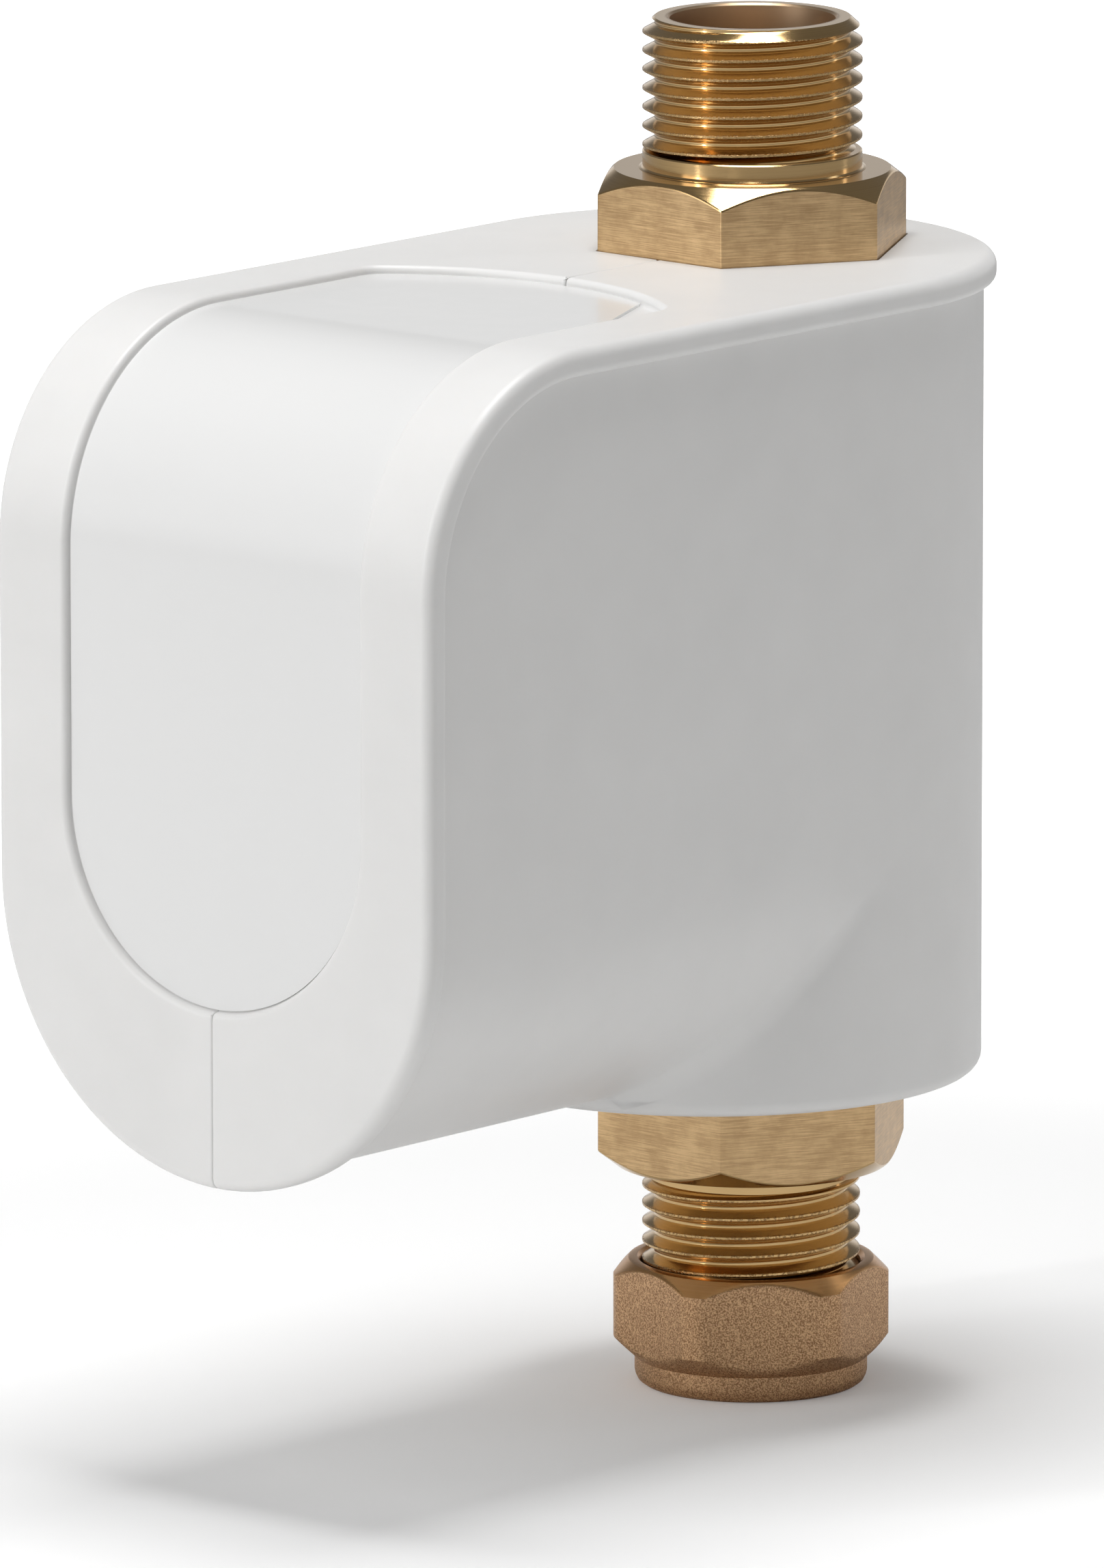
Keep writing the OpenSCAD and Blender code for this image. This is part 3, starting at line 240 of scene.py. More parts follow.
# The motor's cover. It is die-cast in aluminium and left as cast, with a slight flow pattern.
cast = Finish("cover_aluminium", metallic=1.0, roughness=0.42)
flow = cast.noise(3 * mm, 5.0)
grit = cast.noise(0.25 * mm, 2.0)
cast.set("Base Color", cast.mix(flow, (0.5, 0.5, 0.51), (0.62, 0.62, 0.63)))
cast.set("Roughness", flow * 0.15 + grit * 0.1 + 0.28)
cast.bump(flow * 0.4 + grit * 0.6, 0.02 * mm)
dress(cast, "motor_cover")

# The small screws of the motor, the sensor and the casing are zinc plated steel.
zinc = Finish("screw_steel", metallic=1.0, roughness=0.32)
tint = zinc.noise(0.8 * mm, 3.0)
zinc.set("Base Color", zinc.mix(tint, (0.5, 0.5, 0.47), (0.64, 0.65, 0.66)))
zinc.set("Roughness", tint * 0.2 + 0.22)
zinc.bump(zinc.noise(0.15 * mm, 2.0), 0.003 * mm)
dress(zinc, "motor_screws", "sensor_screw", "casing_screws")

# The flow switch's spring. It is coiled from bright drawn steel wire, and stands on the piston.
dress(metal("spring_steel", (0.62, 0.62, 0.61), 0.22, (0.1 * mm,) * 3), "piston_spring")

# The strainer and the piston's stop. They are moulded in plain grey plastic.
dress(moulded("strainer_plastic", (0.5, 0.5, 0.49), 0.35, 0.25 * mm, 0.006 * mm), "inlet_strainer")
dress(moulded("stop_plastic", (0.44, 0.44, 0.43), 0.36, 0.25 * mm, 0.006 * mm), "piston_stop")

# The windings. Each is many turns of enamelled copper wire, and the turns show as fine ridges.
copper = Finish("coil_copper", metallic=0.85, roughness=0.3, coat_weight=0.6)
copper.set("Coat Roughness", 0.15)
motor_z = 37.9 * mm
wire_d = 0.35 * mm
x, y, z = copper.axes()
rise = z - motor_z
turns = ((x * x + rise * rise) ** 0.5).waves(wire_d)
# The colour is painted light and shade: painted shade in the grooves between the turns, and
# painted highlight along their tops.
copper.set("Base Color", copper.mix(turns, (0.35, 0.12, 0.04), (0.68, 0.3, 0.12)))
copper.set("Roughness", turns * -0.15 + 0.4)
copper.bump(turns, 0.08 * mm)
dress(copper, "stator_coils")

# The leads. They are thin copper strands in extruded plastic sleeves.
dress(moulded("lead_sleeve", (0.5, 0.03, 0.02), 0.38, 0.4 * mm, 0.004 * mm), "motor_leads")
dress(moulded("sensor_sleeve", (0.55, 0.2, 0.02), 0.38, 0.4 * mm, 0.004 * mm), "sensor_leads")

# The controller board. It is glass cloth in resin under a green lacquer, with the copper tracks
# just showing through. The parts on it are moulded in black and the sensor's board is like it.
board = Finish("board_green", roughness=0.3, coat_weight=0.5)
board.set("Coat Roughness", 0.12)
track_gap = 3.2 * mm
cells = {"Vector": board.place, "Scale": 1 / track_gap}
tracks = board.node("ShaderNodeTexVoronoi", {"feature": "DISTANCE_TO_EDGE"}, cells)
tracks = tracks.band(0.05, 0.09)
weave = board.noise(0.4 * mm, 1.0)
board.set("Base Color", board.mix(tracks, (0.012, 0.075, 0.028), (0.02, 0.13, 0.045)))
board.set("Roughness", weave * 0.15 + 0.25)
board.bump(tracks * 0.6 + weave * 0.4, 0.02 * mm)
dress(board, "controller_board", "flow_sensor")
black = moulded("component_black", (0.025, 0.025, 0.027), 0.42, 0.2 * mm, 0.01 * mm)
dress(black, "board_components")

# The two pipe fittings. Each is turned from one hexagonal brass bar: a milled hexagon with its
# corners coned off, and a half-inch pipe thread. They are pressed into the pump body's ends.
thread_r = 10.4775 * mm
thread_pitch = 1.814 * mm
thread_depth = 0.6403 * thread_pitch
water_r = 6.0 * mm
hex_corner_r = 27.0 * mm / 2 / math.cos(math.radians(30))
hex_end_r = 13.2 * mm
hex_slope = math.radians(38)
hex_edge = 0.16 * mm
spigot_r = 8.8 * mm
flange_r = 16.388 * mm
flange_t = 2.2 * mm
ring_steps = 96


def edit(piece):
    """Opens a piece in edit mode, with nothing else selected."""
    if bpy.context.object and bpy.context.object.mode == "EDIT":
        bpy.ops.object.mode_set(mode="OBJECT")
    bpy.ops.object.select_all(action="DESELECT")
    bpy.context.view_layer.objects.active = piece
    piece.select_set(True)
    bpy.ops.object.mode_set(mode="EDIT")


def done():
    """Closes edit mode with the faces pointing outwards."""
    bpy.ops.mesh.select_all(action="SELECT")
    bpy.ops.mesh.remove_doubles(threshold=0.0005 * mm)
    bpy.ops.mesh.normals_make_consistent(inside=False)
    bpy.ops.object.mode_set(mode="OBJECT")


def pick(piece, kind, wanted):
    """Selects the vertices, edges or faces of the piece in edit mode that a test wants."""
    bpy.ops.mesh.select_mode(type={"verts": "VERT", "edges": "EDGE", "faces": "FACE"}[kind])
    bpy.ops.mesh.select_all(action="DESELECT")
    mesh = bmesh.from_edit_mesh(piece.data)
    mesh.normal_update()
    for part in getattr(mesh, kind):
        if wanted(part):
            part.select_set(True)
    bmesh.update_edit_mesh(piece.data)


def newest(name):
    """Takes the primitive that was just added, names it and applies its place."""
    piece = bpy.context.object
    piece.name = piece.data.name = name
    bpy.ops.object.transform_apply(location=True, rotation=True, scale=True)
    return piece


def all_near(edge, axis, value):
    """Whether both ends of an edge lie on a plane across an axis."""
    return all(abs(vertex.co[axis] - value) < 0.01 * mm for vertex in edge.verts)


def finish_modifier(piece, modifier):
    """Applies a modifier to a piece."""
    bpy.ops.object.select_all(action="DESELECT")
    bpy.context.view_layer.objects.active = piece
    bpy.ops.object.modifier_apply(modifier=modifier.name)


def combine(piece, other, operation):
    """Joins a solid to a piece, cuts it out of the piece or keeps what both share."""
    modifier = piece.modifiers.new("solid", "BOOLEAN")
    modifier.operation, modifier.object, modifier.solver = operation, other, "EXACT"
    finish_modifier(piece, modifier)
    bpy.data.objects.remove(other)
    return piece


def smooth(piece, degrees=30):
    """Merges the cuts' stray vertices, and shades a piece smoothly but for its sharp edges."""
    stray = 0.002 * mm
    edit(piece)
    bpy.ops.mesh.select_all(action="SELECT")
    bpy.ops.mesh.remove_doubles(threshold=stray)
    bpy.ops.mesh.dissolve_degenerate(threshold=stray)
    bpy.ops.object.mode_set(mode="OBJECT")
    bpy.ops.object.shade_smooth_by_angle(angle=math.radians(degrees))
    modifier = piece.modifiers.new("flats", "WEIGHTED_NORMAL")
    modifier.keep_sharp = True
    finish_modifier(piece, modifier)


def turned(name, outline, steps=ring_steps):
    """A piece turned on a lathe: an outline of radius and height, spun round the Z axis."""
    bpy.ops.mesh.primitive_circle_add(vertices=len(outline), radius=mm, fill_type="NOTHING")
    piece = newest(name)
    for vertex, (radius, height) in zip(piece.data.vertices, outline):
        vertex.co = (max(radius, 0.0), 0, height)
    edit(piece)
    bpy.ops.mesh.select_all(action="SELECT")
    bpy.ops.mesh.spin(steps=steps, angle=2 * math.pi, center=(0, 0, 0), axis=(0, 0, 1))
    done()
    return piece


def threaded_bar(name, low, high, phase):
    """A solid bar with a pipe thread, cut by one tool along a helix, with flat ends."""
    core_r = thread_r - thread_depth
    # One turn's outline, with the crest and the root rounded: share of the pitch, share of depth
    tooth = (
        (-0.5, 0.0),
        (-0.43, 0.02),
        (-0.37, 0.1),
        (-0.09, 0.92),
        (-0.055, 1.0),
        (0.055, 1.0),
        (0.09, 0.92),
        (0.37, 0.1),
        (0.43, 0.02),
        (0.5, 0.0),
    )
    turns = math.ceil((high - low) / thread_pitch) + 3
    bpy.ops.mesh.primitive_circle_add(vertices=len(tooth), radius=mm, fill_type="NOTHING")
    piece = newest(name)
    start = low - 1.5 * thread_pitch
    start -= (start - phase) % thread_pitch
    for vertex, (along, out) in zip(piece.data.vertices, tooth):
        vertex.co = (core_r + out * thread_depth, 0, start + along * thread_pitch)
    edit(piece)
    pick(piece, "edges", lambda e: abs(e.verts[0].co.z - e.verts[1].co.z) > 0.9 * thread_pitch)
    bpy.ops.mesh.delete(type="EDGE")
    bpy.ops.object.mode_set(mode="OBJECT")
    modifier = piece.modifiers.new("helix", "SCREW")
    modifier.axis, modifier.angle, modifier.iterations = "Z", 2 * math.pi, turns
    modifier.screw_offset = thread_pitch
    modifier.steps = modifier.render_steps = ring_steps
    modifier.use_merge_vertices, modifier.merge_threshold = True, 0.001 * mm
    finish_modifier(piece, modifier)
    edit(piece)
    bpy.ops.mesh.select_all(action="SELECT")
    bpy.ops.mesh.remove_doubles(threshold=0.002 * mm)
    ends = (start - thread_pitch, start + (turns + 1) * thread_pitch)
    centre = (ends[0] + ends[1]) / 2
    for end in ends:
        side = 1 if end > centre else -1
        pick(
            piece,
            "edges",
            lambda e: len(e.link_faces) == 1
            and side * (e.verts[0].co.z - centre) > 0
            and abs(e.verts[0].co.z - end) > 0.01 * mm,
        )
        bpy.ops.mesh.extrude_region_move(TRANSFORM_OT_translate={"value": (0, 0, 0)})
        bpy.ops.transform.resize(value=(1, 1, 0), center_override=(0, 0, end))
        bpy.ops.mesh.edge_face_add()
    done()
    return piece


def threaded_end(name, low, high, outline, phase):
    """A threaded length, trimmed to a turned outline that has its chamfer."""
    return combine(threaded_bar(name, low, high, phase), turned("trim", outline), "INTERSECT")


def milled_hexagon(name, low, high, top):
    """The hexagon, with its corners coned off at the top or at the bottom."""
    bpy.ops.mesh.primitive_cylinder_add(
        vertices=6,
        radius=hex_corner_r,
        depth=high - low,
        location=(0, 0, (low + high) / 2),
        rotation=(0, 0, math.radians(30)),
    )
    piece = newest(name)
    reach = hex_corner_r + 0.5 * mm
    drop = (reach - hex_end_r) * math.tan(hex_slope)
    end, other = (high, low) if top else (low, high)
    way = -1 if top else 1
    outline = ((0, other), (reach, other), (reach, end + way * drop), (hex_end_r, end), (0, end))
    combine(piece, turned("cone", outline, 2 * ring_steps), "INTERSECT")
    edit(piece)
    bpy.ops.mesh.select_all(action="SELECT")
    bpy.ops.mesh.remove_doubles(threshold=0.004 * mm)
    bpy.ops.mesh.dissolve_limited(angle_limit=math.radians(0.5))
    pick(
        piece,
        "edges",
        lambda e: len(e.link_faces) == 2
        and not all_near(e, 2, other)
        and not all_near(e, 2, end)
        and any(abs(f.normal.z) < 0.01 for f in e.link_faces)
        and e.calc_face_angle() > math.radians(20),
    )
    bpy.ops.mesh.bevel(offset=hex_edge, segments=3, affect="EDGES", clamp_overlap=True)
    done()
    return piece


def lathe_lines(finish, size):
    """Noise in rings round the Z axis, as a turning tool leaves on any face."""
    x, y, z = finish.axes()
    radius = (x * x + y * y) ** 0.5
    ring_l = 8 * mm
    ring = {0: radius / size, 1: z / size, 2: x / ring_l}
    ring = finish.node("ShaderNodeCombineXYZ", {}, ring)
    return radius, z, finish.noise(1.0, 2.0, 0.6, ring)


# The brass. The milled flats are satin, with fine lines across them. The turned faces are
# brighter, with rings on them, and the crests of the thread are a little torn.
fitting_brass = Finish("fitting_brass", metallic=1.0)
radius, height, rings = lathe_lines(fitting_brass, 0.09 * mm)
leaning = fitting_brass.axes(fitting_brass.node("ShaderNodeTexCoord", output="Normal"))[2]
is_turned = abs(leaning).band(0.08, 0.3)
is_turned = is_turned.maths("MAXIMUM", is_turned, 1.0 - radius.band(12.9 * mm, 13.3 * mm))
line_l, line_w = 3.5 * mm, 0.1 * mm
cut = fitting_brass.stretched(1 / line_l, 1 / line_l, 1 / line_w)
cut = fitting_brass.noise(1.0, 4.0, 0.65, cut)
stain = fitting_brass.noise(2.5 * mm, 4.0, 0.6)
flat_tone = (cut * 0.65 + stain * 0.35).band(0.36, 0.66)
flat_colour = fitting_brass.mix(flat_tone, (0.43, 0.28, 0.14), (0.68, 0.47, 0.25))
turned_colour = fitting_brass.mix(rings, (0.5, 0.33, 0.15), (0.64, 0.44, 0.21))
# The bore is painted a duller, browner colour than the turned faces outside it: painted shade, for
# the shade that falls inside the bore.
in_bore = 1.0 - radius.band(7.9 * mm, 8.5 * mm)
turned_colour = fitting_brass.mix(in_bore, turned_colour, (0.52, 0.37, 0.24))
on_thread = abs(height - 49.5 * mm).band(50.1 * mm, 50.4 * mm)
torn = on_thread * radius.band(10.25 * mm, 10.45 * mm) * (1.0 - radius.band(10.6 * mm, 10.8 * mm))
torn = torn * fitting_brass.noise(0.3 * mm, 3.0, 0.7).band(0.45, 0.6)
turned_colour = fitting_brass.mix(torn * 0.6, turned_colour, (0.2, 0.11, 0.05))
fitting_brass.set("Base Color", fitting_brass.mix(is_turned, flat_colour, turned_colour))
flat_gloss = cut * 0.2 + 0.24
turned_gloss = rings * 0.08 + torn * 0.3 + in_bore * 0.25 + 0.1
fitting_brass.set("Roughness", flat_gloss + is_turned * (turned_gloss - flat_gloss))
fitting_brass.bump(cut * (1.0 - is_turned) + rings * is_turned * 0.25 + torn * 0.8, 0.01 * mm)

# The outlet on top. Its thread stands clear of the hexagon on a short plain collar.
outlet_z = 97.8 * mm
outlet_collar_z = 99.55 * mm
outlet_end_z = 112.3 * mm
outlet_chamfer = 0.9 * mm
outlet_phase = 100.7 * mm
outlet_low_z = 75.95 * mm
outlet_flange_z = 84.75 * mm
spout_r = 7.0 * mm
mouth_r = 7.9 * mm
mouth_depth = 3.0 * mm
overlap = 0.3 * mm
reach = thread_r + overlap

outlet_fitting = milled_hexagon(
    "outlet_hexagon", outlet_flange_z + flange_t - overlap, outlet_z, True
)
collar_edge = 0.12 * mm
combine(
    outlet_fitting,
    turned(
        "outlet_turned",
        (
            (0, outlet_low_z),
            (spigot_r - 0.5 * mm, outlet_low_z),
            (spigot_r, outlet_low_z + 0.5 * mm),
            (spigot_r, outlet_flange_z),
            (flange_r - collar_edge, outlet_flange_z),
            (flange_r, outlet_flange_z + collar_edge),
            (flange_r, outlet_flange_z + flange_t - collar_edge),
            (flange_r - collar_edge, outlet_flange_z + flange_t),
            (hex_end_r - mm, outlet_flange_z + flange_t),
            (hex_end_r - mm, outlet_z - overlap),
            (thread_r + 0.35 * mm, outlet_z - overlap),
            (thread_r + 0.35 * mm, outlet_z + 0.02 * mm),
            (thread_r + 0.12 * mm, outlet_z + 0.07 * mm),
            (thread_r, outlet_z + 0.22 * mm),
            (thread_r, outlet_collar_z - collar_edge),
            (thread_r - collar_edge, outlet_collar_z),
            (0, outlet_collar_z),
        ),
    ),
    "UNION",
)
combine(
    outlet_fitting,
    threaded_end(
        "outlet_thread",
        outlet_collar_z - overlap,
        outlet_end_z,
        (
            (0, outlet_collar_z - overlap),
            (reach, outlet_collar_z - overlap),
            (reach, outlet_end_z - outlet_chamfer - overlap),
            (thread_r - 0.15 * mm, outlet_end_z - outlet_chamfer),
            (thread_r - outlet_chamfer - 0.1 * mm, outlet_end_z - 0.12 * mm),
            (thread_r - outlet_chamfer - 0.25 * mm, outlet_end_z),
            (0, outlet_end_z),
        ),
        outlet_phase,
    ),
    "UNION",
)
combine(
    outlet_fitting,
    turned(
        "outlet_bore",
        (
            (0, outlet_low_z - overlap),
            (water_r, outlet_low_z - overlap),
            (water_r, outlet_flange_z),
            (spout_r, outlet_flange_z + (spout_r - water_r)),
            (spout_r, outlet_end_z - mouth_depth - (mouth_r - spout_r)),
            (mouth_r, outlet_end_z - mouth_depth),
            (mouth_r, outlet_end_z - 0.2 * mm),
            (mouth_r + 0.4 * mm, outlet_end_z + 0.2 * mm),
            (0, outlet_end_z + 0.2 * mm),
        ),
    ),
    "DIFFERENCE",
)
smooth(outlet_fitting, 28)
outlet_fitting.name = outlet_fitting.data.name = "outlet_fitting_turned"
dress(fitting_brass, outlet_fitting)
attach(outlet_fitting, "pump")
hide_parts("outlet_fitting")

# The inlet underneath. Its hexagon points down, and its thread takes the compression nut.
inlet_hex_z = 1.2 * mm
inlet_flange_z = 14.15 * mm
inlet_ring_z = -0.5 * mm
inlet_end_z = -12.1 * mm
inlet_chamfer = 0.6 * mm
inlet_phase = -2.3 * mm
inlet_ring_r = 9.95 * mm
inlet_top_z = 25.45 * mm
socket_r = 7.6 * mm
seat_h = 1.3 * mm

inlet_fitting = milled_hexagon("inlet_hexagon", inlet_hex_z, inlet_flange_z + overlap, False)
combine(
    inlet_fitting,
    turned(
        "inlet_turned",
        (
            (0, inlet_top_z),
            (spigot_r - 0.5 * mm, inlet_top_z),
            (spigot_r, inlet_top_z - 0.5 * mm),
            (spigot_r, inlet_flange_z + flange_t),
            (flange_r - collar_edge, inlet_flange_z + flange_t),
            (flange_r, inlet_flange_z + flange_t - collar_edge),
            (flange_r, inlet_flange_z + collar_edge),
            (flange_r - collar_edge, inlet_flange_z),
            (hex_end_r - mm, inlet_flange_z),
            (hex_end_r - mm, inlet_hex_z + overlap),
            (inlet_ring_r, inlet_hex_z + overlap),
            (inlet_ring_r, inlet_ring_z + 0.3 * mm),
            (inlet_ring_r - 0.25 * mm, inlet_ring_z),
            (0, inlet_ring_z),
        ),
    ),
    "UNION",
)
combine(
    inlet_fitting,
    threaded_end(
        "inlet_thread",
        inlet_end_z,
        inlet_ring_z + overlap,
        (
            (0, inlet_ring_z + overlap),
            (reach, inlet_ring_z + overlap),
            (reach, inlet_end_z + inlet_chamfer),
            (thread_r, inlet_end_z + inlet_chamfer),
            (thread_r - inlet_chamfer, inlet_end_z),
            (0, inlet_end_z),
        ),
        inlet_phase,
    ),
    "UNION",
)
combine(
    inlet_fitting,
    turned(
        "inlet_bore",
        (
            (0, inlet_top_z + overlap),
            (water_r, inlet_top_z + overlap),
            (water_r, 0),
            (socket_r, 0),
            (socket_r, inlet_end_z + seat_h),
            (socket_r + seat_h + overlap, inlet_end_z - overlap),
            (0, inlet_end_z - overlap),
        ),
    ),
    "DIFFERENCE",
)
smooth(inlet_fitting, 28)
inlet_fitting.name = inlet_fitting.data.name = "inlet_fitting_turned"
dress(fitting_brass, inlet_fitting)
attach(inlet_fitting, "pump")
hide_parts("inlet_fitting")

# The rubber rings that seal the fittings' spigots in the pump body, and the ring on the can.
rubber = moulded("seal_rubber", (0.018, 0.018, 0.019), 0.55)
dress(rubber, "fitting_seals", "can_seal", "motor_cushions")

# The casing. It is moulded in white plastic as two halves that meet on the pump's middle plane.
# A thick strap runs over the top, round the bend and down the front, and stands a little proud
# of the side walls. Below it the round front part meets the upright rear part in a soft crease.
casing_half_w = 27.2 * mm
casing_top = 90.5 * mm
casing_foot = 11.6 * mm
casing_foot_edge = 1.5 * mm
front_y = -76.8 * mm
rear_centre_y = -6.1 * mm
bend_r = 21.4 * mm
bend_y = front_y + bend_r
bend_z = casing_top - bend_r
bend_cuts = 40
strap_t = 2.7 * mm
strap_edge = 1.2 * mm
strap_under_edge = 0.85 * mm
wall_half_w = 26.0 * mm
wall_t = 2.5 * mm
crease_r = 4.6 * mm
crease_share = 0.8
recess_depth = 1.0 * mm
recess_half_w = 18.4 * mm
recess_arc_r = 28.0 * mm
recess_arc_y = -55.0 * mm
recess_corner_r = 3.0 * mm
recess_low_z = 46.0 * mm
recess_edge = 0.6 * mm
recess_floor_edge = 0.38 * mm
parting_edge = 0.24 * mm
round_steps = 96


def middle(edge):
    """The middle of an edge."""
    return (edge.verts[0].co + edge.verts[1].co) / 2


def flat_outline(name, points, z):
    """A flat face with the given outline, from a circle whose vertices are moved to the points."""
    bpy.ops.mesh.primitive_circle_add(vertices=len(points), radius=mm, fill_type="NGON")
    piece = newest(name)
    for vertex, (x, y) in zip(piece.data.vertices, points):
        vertex.co = (x, y, z)
    return piece


def thicken(piece, rise):
    """Pulls a flat face along Z into a solid."""
    edit(piece)
    bpy.ops.mesh.select_all(action="SELECT")
    bpy.ops.mesh.extrude_region_move(TRANSFORM_OT_translate={"value": (0, 0, rise)})
    done()


def unrolled_y(z):
    """Where a height on the casing's front lies when the strap is rolled out flat forwards."""
    return bend_y - bend_r * math.pi / 2 - (bend_z - z)


def cut_for_bend(piece):
    """Cuts a flat piece across at every step of the bend."""
    edit(piece)
    for step in range(bend_cuts + 1):
        bpy.ops.mesh.select_all(action="SELECT")
        place = bend_y - bend_r * math.pi / 2 * step / bend_cuts
        bpy.ops.mesh.bisect(plane_co=(0, place, 0), plane_no=(0, 1, 0))
    done()


def roll_over_bend(piece):
    """Rolls a flat piece that lies on the casing's top down over the bend and the front."""
    for vertex in piece.data.vertices:
        past = bend_y - vertex.co.y
        if past > 0:
            turn = min(past / bend_r, math.pi / 2)
            beyond = max(0.0, past - bend_r * math.pi / 2)
            reach = bend_r - (casing_top - vertex.co.z)
            vertex.co.y = bend_y - reach * math.sin(turn)
            vertex.co.z = bend_z + reach * math.cos(turn) - beyond
    piece.data.update()


def arc(centre, radius, start, end, steps):
    """Points along an arc, from one angle to another in degrees."""
    angles = [math.radians(start + (end - start) * i / steps) for i in range(steps + 1)]
    return [(centre[0] + radius * math.cos(a), centre[1] + radius * math.sin(a)) for a in angles]


def recess_outline(gap):
    """The recess's outline, rolled out flat and drawn in by a gap."""
    half, corner_r, arc_r = recess_half_w - gap, recess_corner_r - gap, recess_arc_r - gap
    corner_x = half - corner_r
    corner_rise = math.sqrt((arc_r - corner_r) ** 2 - corner_x**2)
    corner_y = recess_arc_y + corner_rise
    lean = math.degrees(math.atan2(corner_rise, corner_x))
    return (
        arc((corner_x, corner_y), corner_r, 0, lean, 10)
        + arc((0, recess_arc_y), arc_r, lean, 180 - lean, 48)[1:-1]
        + arc((-corner_x, corner_y), corner_r, 180 - lean, 180, 10)
        + arc((0, unrolled_y(recess_low_z)), half, 180, 360, round_steps)
    )


# The strap is made flat, with its round edges and the recess in it, and then rolled over the bend.
strap_outline = arc((0, rear_centre_y), casing_half_w, 0, 180, round_steps) + arc(
    (0, unrolled_y(motor_z)), casing_half_w, 180, 360, round_steps
)
casing = flat_outline("casing", strap_outline, casing_top - strap_t)
thicken(casing, strap_t)
edit(casing)
for height, offset, segments in (
    (casing_top, strap_edge, 10),
    (casing_top - strap_t, strap_under_edge, 6),
):
    pick(casing, "edges", lambda e: all_near(e, 2, height))
    bpy.ops.mesh.bevel(offset=offset, segments=segments, affect="EDGES", clamp_overlap=False)
done()
recess = flat_outline("recess", recess_outline(0), casing_top - recess_depth)
thicken(recess, 2 * recess_depth)
combine(casing, recess, "DIFFERENCE")
edit(casing)
for height, offset, segments in (
    (casing_top, recess_edge, 4),
    (casing_top - recess_depth, recess_floor_edge, 3),
):
    pick(
        casing,
        "edges",
        lambda e: all_near(e, 2, height)
        and abs(middle(e).x) < recess_half_w + 0.1 * mm
        and len(e.link_faces) == 2
        and min(abs(f.normal.z) for f in e.link_faces) < 0.1
        and max(abs(f.normal.z) for f in e.link_faces) > 0.9,
    )
    bpy.ops.mesh.bevel(offset=offset, segments=segments, affect="EDGES", clamp_overlap=False)
done()
cut_for_bend(casing)
roll_over_bend(casing)


def above_slope(place):
    """Whether a place lies in front of the upright part, above the slope that cuts it off."""
    forward = rear_centre_y - place.y
    return forward > 0 and place.z - motor_z > -forward


def casing_bulk(name, radius, low, foot_edge, inset, crease):
    """The casing's bulk under the strap: an upright round part, and a front part grown from it."""
    high, front = casing_top - inset, front_y + inset
    bpy.ops.mesh.primitive_cylinder_add(
        vertices=128,
        radius=radius,
        depth=high - low,
        end_fill_type="NOTHING",
        location=(0, rear_centre_y, (high + low) / 2),
    )
    bulk = newest(name)
    edit(bulk)
    # The foot is closed and rounded.
    pick(bulk, "edges", lambda e: all_near(e, 2, low))
    bpy.ops.mesh.edge_face_add()
    if foot_edge:
        pick(bulk, "edges", lambda e: all_near(e, 2, low))
        bpy.ops.mesh.bevel(offset=foot_edge, segments=6, affect="EDGES", clamp_overlap=False)
    # The upright part's front is cut off on the slope where the two round parts meet.
    pick(
        bulk,
        "faces",
        lambda f: f.calc_center_median().y < rear_centre_y - 0.01 * mm
        and abs(f.normal.z) < 0.99,
    )
    bpy.ops.mesh.bisect(plane_co=(0, rear_centre_y, motor_z), plane_no=(0, -1, 1))
    pick(bulk, "faces", lambda f: above_slope(f.calc_center_median()))
    bpy.ops.mesh.delete(type="FACE")
    # The cut edge and the two side edges above it are drawn out forwards to the front.
    pick(
        bulk,
        "edges",
        lambda e: len(e.link_faces) == 1
        and not all_near(e, 2, high),
    )
    bpy.ops.mesh.extrude_region_move(TRANSFORM_OT_translate={"value": (0, 2 * front, 0)})
    bpy.ops.transform.resize(value=(1, 0, 1), center_override=(0, front, 0))
    # The cut misses the lowest bit, inside the foot's round edge, so the front is made round.
    mesh = bmesh.from_edit_mesh(bulk.data)
    for vertex in mesh.verts:
        if abs(vertex.co.y - front) < 0.01 * mm and vertex.co.z < motor_z:
            vertex.co.z = motor_z - math.sqrt(max(0.0, radius**2 - vertex.co.x**2))
    # The top front edge closes the outlines of the top and of the front, and each is filled.
    pick(bulk, "verts", lambda v: v.co.y < front + 0.01 * mm and v.co.z > high - 0.01 * mm)
    bpy.ops.mesh.edge_face_add()
    for axis, value in ((2, high), (1, front)):
        pick(bulk, "edges", lambda e: len(e.link_faces) < 2 and all_near(e, axis, value))
        bpy.ops.mesh.edge_face_add()
    bpy.ops.mesh.select_all(action="SELECT")
    bpy.ops.mesh.normals_make_consistent(inside=False)
    # The top front edge is rounded to the bend.
    pick(bulk, "edges", lambda e: all_near(e, 1, front) and all_near(e, 2, high))
    bpy.ops.mesh.bevel(offset=bend_r - inset, segments=32, affect="EDGES", clamp_overlap=False)
    done()
    if crease:
        # The crease is rolled softly. It fades out at the sides, and towards the foot, where
        # there is little room under it.
        weights = bulk.data.attributes.new("bevel_weight_edge", "FLOAT", "EDGE")
        places = bulk.data.vertices
        for edge in bulk.data.edges:
            ends = [places[i].co for i in edge.vertices]
            on_slope = all(
                abs((p.z - motor_z) - (p.y - rear_centre_y)) < 0.01 * mm
                and p.y < rear_centre_y + 0.01 * mm
                for p in ends
            )
            if on_slope:
                down = rear_centre_y - (ends[0].y + ends[1].y) / 2
                angle = math.asin(min(1.0, down / radius))
                opening = math.acos(math.cos(angle) ** 2)
                room = (motor_z - down - low - foot_edge) * crease_share
                width = max(0.0, min(crease_r * math.tan(opening / 2), room))
                weights.data[edge.index].value = width / crease_r
        modifier = bulk.modifiers.new("crease", "BEVEL")
        modifier.limit_method = "WEIGHT"
        modifier.width, modifier.segments = crease_r, 8
        modifier.use_clamp_overlap = False
        finish_modifier(bulk, modifier)
    return bulk


